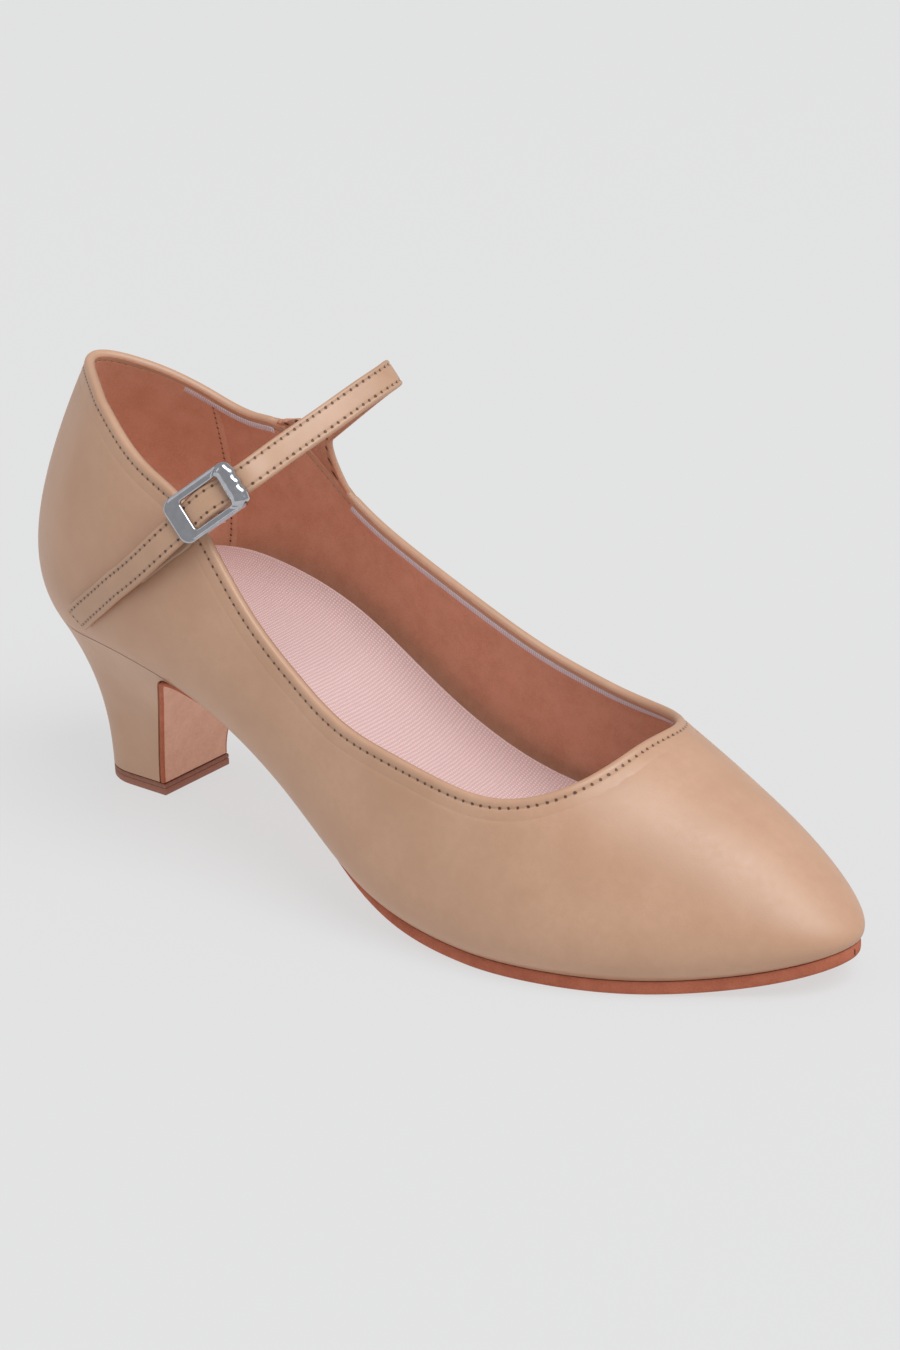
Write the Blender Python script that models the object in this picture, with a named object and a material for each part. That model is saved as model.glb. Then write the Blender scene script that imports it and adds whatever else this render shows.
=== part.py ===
# A right character shoe: hollow leather upper, strap and buckle, insole and sock, outsole, heel, top lift.
# The toe points along +X, the outer side of the foot lies at -Y and the floor is at Z = 0.
# Lengths are worked out in millimetres and become metres where a mesh is made.
import math

import bpy
import bmesh
import numpy as np
from mathutils import Matrix

METRE = 0.001

# Last and upper
FEATHER_LENGTH = 230.0    # from the back of the seat to the toe, along the upper's lower edge
BALL_WIDTH = 73.0         # widest part of the forefoot at the upper's lower edge
SEAT_RISE = 40.5          # lower edge at the back of the seat, above the lower edge at the ball
TOE_SPRING = 6.5          # lower edge at the toe tip, above the lower edge at the ball
RIDGE_HEIGHT = 120.0      # ridge line of the last over the back of the seat
BULGE = 7.0               # how far the heel swells out past the seat
HEEL_LEAN = 9.0           # how far the back of the collar leans forward over the seat
HEEL_PINCH = 0.36         # how much narrower the collar is at the back than a plain section
HEEL_ROUND = 31.0         # length of the rounded back of the seat
TOE_ROUND = 74.0          # length of the rounded front of the toe
THROAT_LENGTH = 84.0      # length of the rounded front end of the throat opening
THROAT_REACH = 179.0      # from the back of the seat to the front of the throat
HEEL_ROUNDNESS = 1.9      # power of the seat's rounded back in plan: 2 is an ellipse, less is more pointed
TOE_ROUNDNESS = 1.75      # the same for the toe
TOE_FALL = 2.3            # power with which the ridge comes down to the toe tip
THROAT_ROUNDNESS = 2.5    # power of the throat's rounded front end
WALL = 2.0                # leather and lining together
GAP = 0.3                 # clearance between neighbouring pieces

# Sole and heel
SOLE_THICKNESS = 3.2
WAIST_THICKNESS = 1.7
FLAP_THICKNESS = 1.5
WAIST_TUCK = 2.4          # how far the sole's edge lies inside the upper's edge at the waist
BREAST_TOP = 58.0         # heel's front face at the seat, from the back of the seat
BREAST_BOTTOM = 36.6      # heel's front face at the floor
BREAST_CORNER = 2.6       # radius of the turn from the waist into the heel's front face
HEEL_BASE_LENGTH = 22.0
HEEL_BASE_WIDTH = 23.0
HEEL_BASE_CENTRE = 1.0
HEEL_BASE_ROUNDNESS = 2.2
TOP_LIFT_THICKNESS = 3.0
HEEL_BACK_CURVE = 3.0     # power of the heel's curve from seat to foot at its back
HEEL_FRONT_CURVE = 1.8    # the same at its front face
HEEL_SIDE_CURVE = 2.0     # the same for its sides

# Inside
INSOLE_THICKNESS = 2.6
SOCK_THICKNESS = 1.2
FOOTBED_CUP = 5.0         # how far the insole's edges curl up over its middle at the waist
INSOLE_MARGIN = 1.0       # how far the insole stays clear of the wall beyond the gap
TOE_MARGIN = 5.0          # how much earlier than the upper the insole ends inside the toe

# Strap, anchor tab and buckle
STRAP_WIDTH = 6.9
STRAP_THICKNESS = 1.8
TAIL_SLANT = 0.35         # how much further the tail's rear edge reaches, as a share of the width
TAB_WIDTH = 5.6
TAB_THICKNESS = 1.0
TAB_CLEARANCE = 0.5       # between the tab and the quarter
TAB_SHARES = (0.66, 0.80, 0.94, 1.06, 1.16)   # where the tab lies on the quarter, as shares along the tail
BUCKLE_LENGTH = 19.2
BUCKLE_CLEARANCE = 0.3    # on each side of the strap inside the frame's window
BUCKLE_THICKNESS = 1.5
BUCKLE_RIM = 2.0          # width of the frame's long sides
BUCKLE_PLATE = 4.2        # width of the plate across the frame's lower end
BUCKLE_LIP = 3.8          # width of the domed lip across its upper end
BUCKLE_DOME = 0.9         # how far the lip swells up
BUCKLE_BAR = 1.6          # diameter of the centre bar under the strap

# Sections of the last, from the back of the seat to the toe tip.
# share is of FEATHER_LENGTH; centre, outer and inner (plan, at the lower edge) are of BALL_WIDTH;
# rise is of SEAT_RISE, spring of TOE_SPRING, ridge of RIDGE_HEIGHT, and both swells are of BULGE;
# curl is the power of the section's curve: 2 is an ellipse, more is boxier.
LAST_COLUMNS = ("share", "centre", "outer", "inner", "rise", "spring", "ridge", "outer_swell", "inner_swell",
                "curl")
LAST_ROWS = (
    (0.000, 0.036, 0.300, 0.325, 1.000, 0.00, 1.000, 0.64, 0.66, 1.35),
    (0.050, 0.022, 0.318, 0.335, 1.035, 0.00, 0.950, 0.64, 0.66, 1.35),
    (0.130, 0.002, 0.356, 0.360, 1.060, 0.00, 0.900, 0.66, 0.66, 1.38),
    (0.235, -0.005, 0.395, 0.370, 1.010, 0.00, 0.840, 0.66, 0.60, 1.50),
    (0.340, -0.015, 0.390, 0.382, 0.810, 0.00, 0.780, 0.64, 0.45, 1.75),
    (0.440, -0.027, 0.400, 0.390, 0.470, 0.00, 0.720, 0.60, 0.42, 2.00),
    (0.545, -0.042, 0.455, 0.435, 0.150, 0.00, 0.650, 0.52, 0.42, 2.15),
    (0.650, -0.033, 0.488, 0.490, 0.012, 0.00, 0.515, 0.43, 0.40, 2.25),
    (0.750, -0.022, 0.495, 0.535, 0.000, 0.00, 0.392, 0.36, 0.36, 2.20),
    (0.855, 0.004, 0.466, 0.480, 0.000, 0.05, 0.320, 0.36, 0.36, 2.20),
    (0.935, 0.030, 0.427, 0.395, 0.000, 0.38, 0.255, 0.36, 0.32, 2.20),
    (1.000, 0.028, 0.425, 0.345, 0.000, 1.00, 0.130, 0.32, 0.30, 2.15),
)

# Height of each swell over the lower edge, as a share of RIDGE_HEIGHT, at the heel and at the toe
SWELL_HEIGHT_HEEL = 0.200
SWELL_HEIGHT_TOE = 0.068

# Edge of the collar and throat: how far each side stops short of the ridge, as a share of a quarter turn.
# share is of THROAT_REACH.
TOPLINE_COLUMNS = ("share", "outer", "inner")
TOPLINE_ROWS = (
    (0.00, 0.645, 0.645),
    (0.09, 0.638, 0.668),
    (0.16, 0.641, 0.698),
    (0.24, 0.658, 0.716),
    (0.32, 0.670, 0.704),
    (0.40, 0.678, 0.750),
    (0.45, 0.710, 0.757),
    (0.50, 0.738, 0.740),
    (0.58, 0.744, 0.697),
    (0.66, 0.734, 0.669),
    (0.74, 0.714, 0.661),
    (0.82, 0.718, 0.664),
    (0.90, 0.755, 0.690),
    (1.00, 0.800, 0.700),
)

# Middle of the strap inside the buckle and over the instep to its inner end.
# forward is a share of THROAT_REACH, inward of BALL_WIDTH, up of RIDGE_HEIGHT.
STRAP_COLUMNS = ("forward", "inward", "up")
STRAP_BUCKLE_ROW = (0.437, -0.380, 0.743)
STRAP_ROWS = (
    (0.484, -0.165, 0.820),
    (0.497, 0.027, 0.857),
    (0.5056, 0.178, 0.885),
    (0.505, 0.288, 0.897),
    (0.491, 0.351, 0.891),
    (0.464, 0.364, 0.863),
    (0.419, 0.356, 0.810),
    (0.374, 0.337, 0.754),
)

# The strap's tail on the outer quarter, from its end towards the buckle.
# share is the way along the tail, forward a share of THROAT_REACH, height over the lower edge a share of
# RIDGE_HEIGHT, and stand_off a share of the leather between strap and quarter.
TAIL_COLUMNS = ("share", "forward", "height", "stand_off")
TAIL_ROWS = (
    (0.00, 0.212, 0.066, 0.00),
    (0.20, 0.253, 0.117, 0.08),
    (0.40, 0.287, 0.164, 0.45),
    (0.60, 0.319, 0.208, 0.95),
    (0.80, 0.348, 0.254, 1.15),
    (1.00, 0.373, 0.296, 1.15),
)

# Directions of the strap in the buckle: along it from tail to instep, and across it to its front edge
BUCKLE_ALONG = (0.657, 0.501, 0.562)
BUCKLE_ACROSS = (0.653, 0.000, -0.757)

# Inner end of the strap on the collar, as shares of THROAT_REACH
STRAP_BASE_BACK = 0.315
STRAP_BASE_FRONT = 0.385

# Sampling of the solids
STRAP_STATIONS = 56
STRAP_BLEND = 6
STRAP_ACROSS = 5
FOOTBED_ACROSS = 7
BUCKLE_CORNER_STEPS = 5
BAR_SIDES = 10
HEEL_STATIONS = 10
QUARTER_STATIONS = 20
THROAT_STATIONS = 12
TOE_STATIONS = 12
WALL_ROWS = 9


def spline(knots, values):
    """A natural cubic curve through the knots, as a function of one number or of an array."""
    x = np.asarray(knots, float)
    y = np.asarray(values, float)
    step = np.diff(x)
    slope = np.diff(y) / step
    matrix = np.eye(len(x))
    right = np.zeros(len(x))
    for i in range(1, len(x) - 1):
        matrix[i, i - 1:i + 2] = step[i - 1], 2.0 * (step[i - 1] + step[i]), step[i]
        right[i] = 6.0 * (slope[i] - slope[i - 1])
    bend = np.linalg.solve(matrix, right)

    def curve(at):
        at = np.asarray(at, float)
        i = np.clip(np.searchsorted(x, at, side="right") - 1, 0, len(step) - 1)
        left = at - x[i]
        rest = x[i + 1] - at
        cubic = (bend[i] * rest ** 3 + bend[i + 1] * left ** 3) / (6.0 * step[i])
        line = (y[i] / step[i] - bend[i] * step[i] / 6.0) * rest
        return cubic + line + (y[i + 1] / step[i] - bend[i + 1] * step[i] / 6.0) * left

    return curve


def column_curves(names, rows, length):
    """One curve for each column of a table whose first column is a share of the length."""
    knots = [row[0] * length for row in rows]
    return {name: spline(knots, [row[i] for row in rows]) for i, name in enumerate(names) if i}


LAST = column_curves(LAST_COLUMNS, LAST_ROWS, FEATHER_LENGTH)
TOPLINE = column_curves(TOPLINE_COLUMNS, TOPLINE_ROWS, THROAT_REACH)
TAIL = column_curves(TAIL_COLUMNS, TAIL_ROWS, 1.0)


def smooth_step(x, start, end):
    """0 before start, 1 after end, with a soft rise between."""
    t = np.clip((x - start) / (end - start), 0.0, 1.0)
    return t * t * (3.0 - 2.0 * t)


def heel_share(x):
    """1 at the back of the seat, 0 where its rounded back ends."""
    return np.clip((HEEL_ROUND - x) / HEEL_ROUND, 0.0, 1.0)


def toe_share(x):
    """0 where the toe's rounded front begins, 1 at its tip."""
    return np.clip((x - FEATHER_LENGTH + TOE_ROUND) / TOE_ROUND, 0.0, 1.0)


def half_width(x, side):
    """Half width of the lower edge's outline on one side: -1 is the outer side, 1 the inner."""
    width = BALL_WIDTH * LAST["outer" if side < 0 else "inner"](x)
    heel = (1.0 - heel_share(x) ** HEEL_ROUNDNESS) ** (1.0 / HEEL_ROUNDNESS)
    toe = np.sqrt(np.maximum(1.0 - toe_share(x) ** TOE_ROUNDNESS, 0.0))
    return width * heel * toe


def centre_line(x):
    return BALL_WIDTH * LAST["centre"](x)


def base_height(x):
    """Height of the upper's lower edge over the floor."""
    rise = SEAT_RISE * LAST["rise"](x) + TOE_SPRING * LAST["spring"](x)
    return SOLE_THICKNESS + GAP + rise


def ridge_height(x):
    """Height of the last's ridge over the lower edge, which comes down to it at the toe tip."""
    return RIDGE_HEIGHT * LAST["ridge"](x) * np.sqrt(np.maximum(1.0 - toe_share(x) ** TOE_FALL, 0.0))


def wall_point(x, side, angle):
    """Point of the upper's outer face: x along the lower edge, angle up the section, 90 degrees at the ridge."""
    x, angle = np.broadcast_arrays(np.asarray(x, float), np.asarray(angle, float))
    inward = 1.0 - np.cos(angle) ** (2.0 / LAST["curl"](x))
    height = ridge_height(x) * np.sin(angle)
    half = half_width(x, side)
    middle_x = np.maximum(x, HEEL_ROUND)
    middle_y = centre_line(middle_x)
    edge_y = centre_line(x) + side * half
    swell_height = RIDGE_HEIGHT * (SWELL_HEIGHT_HEEL + (SWELL_HEIGHT_TOE - SWELL_HEIGHT_HEEL)
                                   * smooth_step(x, 0.1 * FEATHER_LENGTH, 0.7 * FEATHER_LENGTH))
    swell = BULGE * LAST["outer_swell" if side < 0 else "inner_swell"](x)
    share = height / swell_height
    swell = swell * share * np.exp(1.0 - share)
    back = heel_share(x) ** 0.9
    front = toe_share(x) ** 1.5
    out_x = np.where(x < HEEL_ROUND, -back, front)
    out_y = np.where(x < HEEL_ROUND, np.sqrt(1.0 - back ** 2), np.sqrt(1.0 - front ** 2))
    ankle = (height / (0.5 * RIDGE_HEIGHT)) ** 2 * (1.0 - smooth_step(x, 0.0, 0.3 * FEATHER_LENGTH))
    place_x = x + (middle_x - x) * inward + swell * out_x + HEEL_LEAN * ankle
    place_y = edge_y + (middle_y - edge_y) * inward + side * swell * out_y * (1.0 - inward)
    place_y = middle_y + (place_y - middle_y) * (1.0 - HEEL_PINCH * ankle)
    return np.stack([place_x, place_y, base_height(x) + height], axis=-1)


def top_angle(x, side):
    """How far up its section each side reaches: it closes over the ridge ahead of the throat."""
    short = TOPLINE["outer" if side < 0 else "inner"](np.minimum(x, THROAT_REACH))
    start = THROAT_REACH - THROAT_LENGTH
    close = (1.0 - np.clip((x - start) / THROAT_LENGTH, 0.0, 1.0) ** THROAT_ROUNDNESS) ** (1.0 / THROAT_ROUNDNESS)
    return 0.5 * math.pi * (1.0 - short * close)


def stations():
    """Places along the shoe where sections are taken, closer together where the outline is round."""
    start = THROAT_REACH - THROAT_LENGTH
    heel = HEEL_ROUND * (1.0 - np.cos(np.linspace(0.0, 0.5 * math.pi, HEEL_STATIONS)))
    quarter = np.linspace(HEEL_ROUND, start, QUARTER_STATIONS)[1:]
    throat = start + THROAT_LENGTH * np.sin(np.linspace(0.0, 0.5 * math.pi, THROAT_STATIONS))[1:]
    toe_length = FEATHER_LENGTH - THROAT_REACH
    toe = THROAT_REACH + toe_length * np.sin(np.linspace(0.0, 0.5 * math.pi, TOE_STATIONS))[1:]
    return np.concatenate([heel, quarter, throat, toe])


def finish_object(name, points, faces, material):
    """A closed mesh object from points in millimetres, with its faces turned outward."""
    mesh = bpy.data.meshes.new(name)
    form = bmesh.new()
    corners = [form.verts.new(METRE * np.asarray(point, float)) for point in points]
    for face in faces:
        ring = list(dict.fromkeys(face))
        if len(ring) > 2:
            form.faces.new([corners[i] for i in ring])
    bmesh.ops.remove_doubles(form, verts=form.verts, dist=0.002 * METRE)
    bmesh.ops.dissolve_degenerate(form, edges=form.edges, dist=0.001 * METRE)
    bmesh.ops.triangulate(form, faces=form.faces)
    bmesh.ops.recalc_face_normals(form, faces=form.faces)
    form.to_mesh(mesh)
    form.free()
    mesh.shade_smooth()
    mesh.set_sharp_from_angle(angle=math.radians(35.0))
    mesh.materials.append(material)
    item = bpy.data.objects.new(name, mesh)
    bpy.context.scene.collection.objects.link(item)
    return item


def point_normals(points, faces):
    """Area-weighted normals of a sheet's points."""
    normals = np.zeros_like(points)
    for face in faces:
        ring = list(dict.fromkeys(face))
        middle = points[ring].mean(axis=0)
        for a, b in zip(ring, ring[1:] + ring[:1]):
            normals[ring] += np.cross(points[a] - middle, points[b] - middle)
    return normals / np.linalg.norm(normals, axis=1, keepdims=True)


def upper_sheet():
    """Outer face of the upper: points, faces, and the points of its lower edge."""
    along = stations()
    last = len(along) - 1
    ridge_start = HEEL_STATIONS + QUARTER_STATIONS + THROAT_STATIONS - 3
    points = []
    numbers = {}

    def number(side, station, row):
        if station == 0:
            side = -1
        if station >= ridge_start and row == WALL_ROWS:
            side = -1
        if station == last:
            side = -1
            row = 0
        key = (side, station, row)
        if key not in numbers:
            numbers[key] = len(points)
            angle = top_angle(along[station], side) * row / WALL_ROWS
            points.append(wall_point(along[station], side, angle))
        return numbers[key]

    faces = []
    for side in (-1, 1):
        for station in range(last):
            for row in range(WALL_ROWS):
                ring = [number(side, station, row), number(side, station + 1, row),
                        number(side, station + 1, row + 1), number(side, station, row + 1)]
                faces.append(ring if side < 0 else ring[::-1])
    edge = [i for (side, station, row), i in numbers.items() if row == 0]
    return np.array(points), faces, edge


def make_upper(material):
    """The sheet, its offset inner face, and the rims that join them at the collar and underneath."""
    outer, faces, edge = upper_sheet()
    normals = point_normals(outer, faces)
    normals[edge, 2] = 0.0
    normals[edge] /= np.linalg.norm(normals[edge], axis=1, keepdims=True)
    inner = outer - WALL * normals
    count = len(outer)
    directed = set()
    for face in faces:
        ring = list(dict.fromkeys(face))
        directed.update(zip(ring, ring[1:] + ring[:1]))
    rims = [[b, a, a + count, b + count] for a, b in directed if (b, a) not in directed]
    back = [[i + count for i in reversed(face)] for face in faces]
    return finish_object("upper", np.vstack([outer, inner]), faces + back + rims, material)


def breast_line(depth):
    """x of the heel's front face and of the flap's back, at a depth from 0 at the seat to 1 at the top lift."""
    return BREAST_TOP + (BREAST_BOTTOM - BREAST_TOP) * (1.0 - (1.0 - depth) ** HEEL_FRONT_CURVE)


def heel_outline(share, side, depth):
    """Point of the heel block: share 0 is its back and 1 its front corner, depth 0 is its top, 1 its foot."""
    top_x = BREAST_TOP * share
    top_y = centre_line(top_x) + side * (half_width(top_x, side) - GAP)
    foot_x = BREAST_BOTTOM - HEEL_BASE_LENGTH * (1.0 - share)
    round_end = HEEL_ROUND / BREAST_TOP
    turn = np.clip(1.0 - share / round_end, 0.0, 1.0)
    turn = (1.0 - turn ** HEEL_BASE_ROUNDNESS) ** (1.0 / HEEL_BASE_ROUNDNESS)
    foot_y = HEEL_BASE_CENTRE + side * 0.5 * HEEL_BASE_WIDTH * turn
    power = HEEL_BACK_CURVE + (HEEL_FRONT_CURVE - HEEL_BACK_CURVE) * share
    pull_x = 1.0 - (1.0 - depth) ** power
    pull_y = 1.0 - (1.0 - depth) ** HEEL_SIDE_CURVE
    top_z = base_height(top_x) - GAP
    foot_z = TOP_LIFT_THICKNESS + GAP
    corner = BREAST_CORNER * share ** 12 * np.clip(1.0 - depth * (top_z - foot_z) / BREAST_CORNER, 0.0, 1.0) ** 2
    x = top_x + (foot_x - top_x) * pull_x - corner
    y = top_y + (foot_y - top_y) * pull_y
    return np.array([x, y, top_z + (foot_z - top_z) * depth])


def heel_shares():
    """Shares along the heel's outline from its back to its front corner, closer together round the back."""
    round_end = HEEL_ROUND / BREAST_TOP
    back = round_end * (1.0 - np.cos(np.linspace(0.0, 0.5 * math.pi, 10)))
    return np.concatenate([back, np.linspace(round_end, 1.0, 5)[1:]])


def make_heel(material):
    """The leather-covered block: rings of points from the seat down to its foot."""
    shares = heel_shares()
    depths = [0.0, 0.015, 0.035, 0.07, 0.14, 0.24, 0.36, 0.5, 0.66, 0.83, 1.0]
    ring_size = 2 * len(shares)
    points = []
    for depth in depths:
        points += [heel_outline(share, -1, depth) for share in shares[::-1]]
        points += [heel_outline(share, 1, depth) for share in shares]
    faces = []
    for level in range(len(depths) - 1):
        for i in range(ring_size):
            j = (i + 1) % ring_size
            a = level * ring_size
            b = a + ring_size
            faces.append([a + i, a + j, b + j, b + i])
    foot = (len(depths) - 1) * ring_size
    for i in range(len(shares) - 1):
        ring = [i, i + 1, ring_size - 2 - i, ring_size - 1 - i]
        faces.append(ring)
        faces.append([foot + k for k in ring[::-1]])
    return finish_object("heel", points, faces, material)


def make_top_lift(material):
    """The wearing piece: the heel's foot outline, carried forward under the flap."""
    shares = heel_shares()
    front = BREAST_BOTTOM + GAP + FLAP_THICKNESS
    outline = [heel_outline(share, -1, 1.0)[:2] for share in shares[::-1]]
    outline += [heel_outline(share, 1, 1.0)[:2] for share in shares[1:]]
    outline = [[front, outline[0][1]]] + outline + [[front, outline[-1][1]]]
    count = len(outline)
    points = [[x, y, 0.0] for x, y in outline] + [[x, y, TOP_LIFT_THICKNESS] for x, y in outline]
    faces = [list(range(count)), list(range(2 * count - 1, count - 1, -1))]
    faces += [[i, (i + 1) % count, (i + 1) % count + count, i + count] for i in range(count)]
    return finish_object("top_lift", points, faces, material)


def sole_path():
    """Upper face of the outsole in side view, from the toe back to the heel and down its front face."""
    corner_x = BREAST_TOP + GAP
    corner_z = float(base_height(corner_x)) - GAP
    start = corner_x + BREAST_CORNER
    forward = [x for x in stations()[::-1] if x > start + 1.0]
    path = [(x, float(base_height(x)) - GAP) for x in forward]
    foot_z = TOP_LIFT_THICKNESS + GAP
    fall = corner_z - foot_z
    turn = BREAST_CORNER / fall
    ends = ((start, float(base_height(start)) - GAP), (corner_x, corner_z),
            (breast_line(turn) + GAP, corner_z - BREAST_CORNER))
    for t in np.linspace(0.0, 1.0, 6):
        weights = ((1.0 - t) ** 2, 2.0 * t * (1.0 - t), t * t)
        path.append(tuple(sum(w * end[i] for w, end in zip(weights, ends)) for i in (0, 1)))
    for depth in np.linspace(turn, 1.0, 10)[1:]:
        path.append((breast_line(depth) + GAP, corner_z - fall * depth))
    return np.array(path)


def sole_half_widths(x, z):
    """Outer and inner edges of the sole at a point of its path."""
    if x > BREAST_TOP + GAP:
        tuck = WAIST_TUCK * smooth_step(x, BREAST_TOP, 0.35 * FEATHER_LENGTH)
        tuck = tuck * (1.0 - smooth_step(x, 0.42 * FEATHER_LENGTH, 0.60 * FEATHER_LENGTH))
        return [float(centre_line(x) + side * (half_width(x, side) - tuck)) for side in (-1, 1)]
    top_z = float(base_height(BREAST_TOP)) - GAP
    depth = np.clip((top_z - z) / (top_z - TOP_LIFT_THICKNESS - GAP), 0.0, 1.0)
    return [float(heel_outline(1.0, side, depth)[1]) for side in (-1, 1)]


def make_outsole(material):
    """One strip of leather: forefoot, waist, a small turn, and the flap down the heel's front."""
    path = sole_path()
    along = np.gradient(path, axis=0)
    along /= np.linalg.norm(along, axis=1, keepdims=True)
    down = np.stack([-along[:, 1], along[:, 0]], axis=1)
    points = []
    for (x, z), (down_x, down_z) in zip(path, down):
        waist = smooth_step(x, 0.42 * FEATHER_LENGTH, 0.64 * FEATHER_LENGTH)
        thickness = WAIST_THICKNESS + (SOLE_THICKNESS - WAIST_THICKNESS) * waist
        flap = smooth_step(x, BREAST_TOP, BREAST_TOP + 4.0 * BREAST_CORNER)
        thickness = FLAP_THICKNESS + (thickness - FLAP_THICKNESS) * flap
        flat = smooth_step(x, 0.45 * FEATHER_LENGTH, 0.60 * FEATHER_LENGTH)
        low_x = x + thickness * down_x * (1.0 - flat)
        low_z = max(z + thickness * (down_z * (1.0 - flat) - flat), 0.0)
        outer, inner = sole_half_widths(x, z)
        points += [[x, outer, z], [x, inner, z], [low_x, inner, low_z], [low_x, outer, low_z]]
    end = len(points) - 4
    points[end + 2][2] = points[end][2]
    points[end + 3][2] = points[end][2]
    faces = [[0, 1, 2, 3], [end + 3, end + 2, end + 1, end]]
    for a in range(0, end, 4):
        b = a + 4
        faces += [[a + i, b + i, b + (i + 1) % 4, a + (i + 1) % 4] for i in range(4)]
    return finish_object("outsole", points, faces, material)


def footbed_point(x, side):
    """Edge of the insole for a place on the lower edge: moved in by the wall, the gap and a margin."""
    inset = WALL + GAP + INSOLE_MARGIN
    length = FEATHER_LENGTH - 2.0 * inset - TOE_MARGIN
    width = BALL_WIDTH * LAST["outer" if side < 0 else "inner"](x)
    half = half_width(x, side) * (1.0 - inset / width)
    return np.array([inset + x * length / FEATHER_LENGTH, centre_line(x) + side * half])


def make_footbed(name, lift, thickness, material):
    """A board or a lining over the seat, waist and forefoot, with its edges curled up at the waist."""
    along = stations()
    sheet = []
    for station in along:
        outer = footbed_point(station, -1)
        inner = footbed_point(station, 1)
        for v in np.linspace(-1.0, 1.0, FOOTBED_ACROSS):
            x, y = 0.5 * (outer + inner) + 0.5 * v * (inner - outer)
            waist = smooth_step(x, 0.0, 0.2 * FEATHER_LENGTH)
            waist = waist * (1.0 - 0.7 * smooth_step(x, 0.5 * FEATHER_LENGTH, 0.95 * FEATHER_LENGTH))
            waist = waist * min(1.0, float(inner[1] - outer[1]) / (0.4 * BALL_WIDTH))
            sheet.append([x, y, float(base_height(x)) + lift, FOOTBED_CUP * waist * abs(v) ** 3])
    low = [[x, y, z + (cup if lift > 0.0 else 0.0)] for x, y, z, cup in sheet]
    high = [[x, y, z + cup + thickness] for x, y, z, cup in sheet]
    return finish_object(name, low + high, slab_faces(len(along), FOOTBED_ACROSS), material)


def slab_faces(rows, columns):
    """Faces of a slab whose low grid of points is followed by its high grid."""
    top = rows * columns
    faces = []
    for i in range(rows - 1):
        for j in range(columns - 1):
            ring = [i * columns + j, (i + 1) * columns + j, (i + 1) * columns + j + 1, i * columns + j + 1]
            faces.append(ring)
            faces.append([k + top for k in ring[::-1]])
    border = [j for j in range(columns)]
    border += [i * columns + columns - 1 for i in range(1, rows)]
    border += [(rows - 1) * columns + j for j in range(columns - 2, -1, -1)]
    border += [i * columns for i in range(rows - 2, 0, -1)]
    for a, b in zip(border, border[1:] + border[:1]):
        faces.append([a, b, b + top, a + top])
    return faces


def unit(vector):
    vector = np.asarray(vector, float)
    return vector / np.linalg.norm(vector, axis=-1, keepdims=True)


def wall_frame(x, side, height):
    """Point, outward normal and upward direction of the upper's outer face at a height over its lower edge."""
    angle = float(np.arcsin(np.clip(height / ridge_height(x), 0.0, 1.0)))
    step = 0.01
    here = wall_point(x, side, angle)
    up = unit(wall_point(x, side, angle + step) - here)
    ahead = wall_point(x + 1.0, side, angle) - here
    return here, unit(side * np.cross(up, ahead)), up


def collar_height(x, side):
    """Height of the collar's edge over the lower edge."""
    return float(ridge_height(x) * np.sin(top_angle(x, side)))


def strap_place(row):
    """Point of the strap's middle from a row of its table."""
    forward, inward, up = row
    return np.array([forward * THROAT_REACH, inward * BALL_WIDTH, up * RIDGE_HEIGHT])


def buckle_frame():
    """Middle of the strap inside the buckle, and its directions: along it, across it and outward."""
    along = unit(BUCKLE_ALONG)
    outward = unit(np.cross(BUCKLE_ACROSS, along))
    return strap_place(STRAP_BUCKLE_ROW), along, unit(np.cross(along, outward)), outward


def tail_place(share, clear):
    """A point over the outer quarter, share 0 at the tail's end and 1 where it nears the buckle."""
    x = THROAT_REACH * float(TAIL["forward"](share))
    place, normal, up = wall_frame(x, -1, RIDGE_HEIGHT * float(TAIL["height"](share)))
    return place + clear * normal, normal


def strap_centre_line():
    """Points down the middle of the strap, each with the direction of its width, from tail to inner end."""
    centre, along, across, outward = buckle_frame()
    low = GAP + 0.5 * STRAP_THICKNESS
    rows = []
    for share in np.linspace(0.0, 1.0, 7):
        clear = low + (TAB_THICKNESS + TAB_CLEARANCE) * float(TAIL["stand_off"](share))
        place, normal = tail_place(share, clear)
        rows.append((place, across - (across @ normal) * normal))
    for share in (-0.45, -0.15, 0.15, 0.5):
        rows.append((centre + share * BUCKLE_LENGTH * along, across))
    for row in STRAP_ROWS:
        rows.append((strap_place(row), across))
    return rows


def strap_base():
    """The inner end of the strap: its edge along the collar, and the direction in which it leaves."""
    edges = []
    leaves = []
    for share in np.linspace(STRAP_BASE_BACK, STRAP_BASE_FRONT, STRAP_ACROSS):
        x = share * THROAT_REACH
        place, normal, up = wall_frame(x, 1, collar_height(x, 1))
        edges.append(place - 0.5 * WALL * normal + (GAP + 0.1) * up)
        leaves.append(up)
    return np.array(edges), np.array(leaves)


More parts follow.
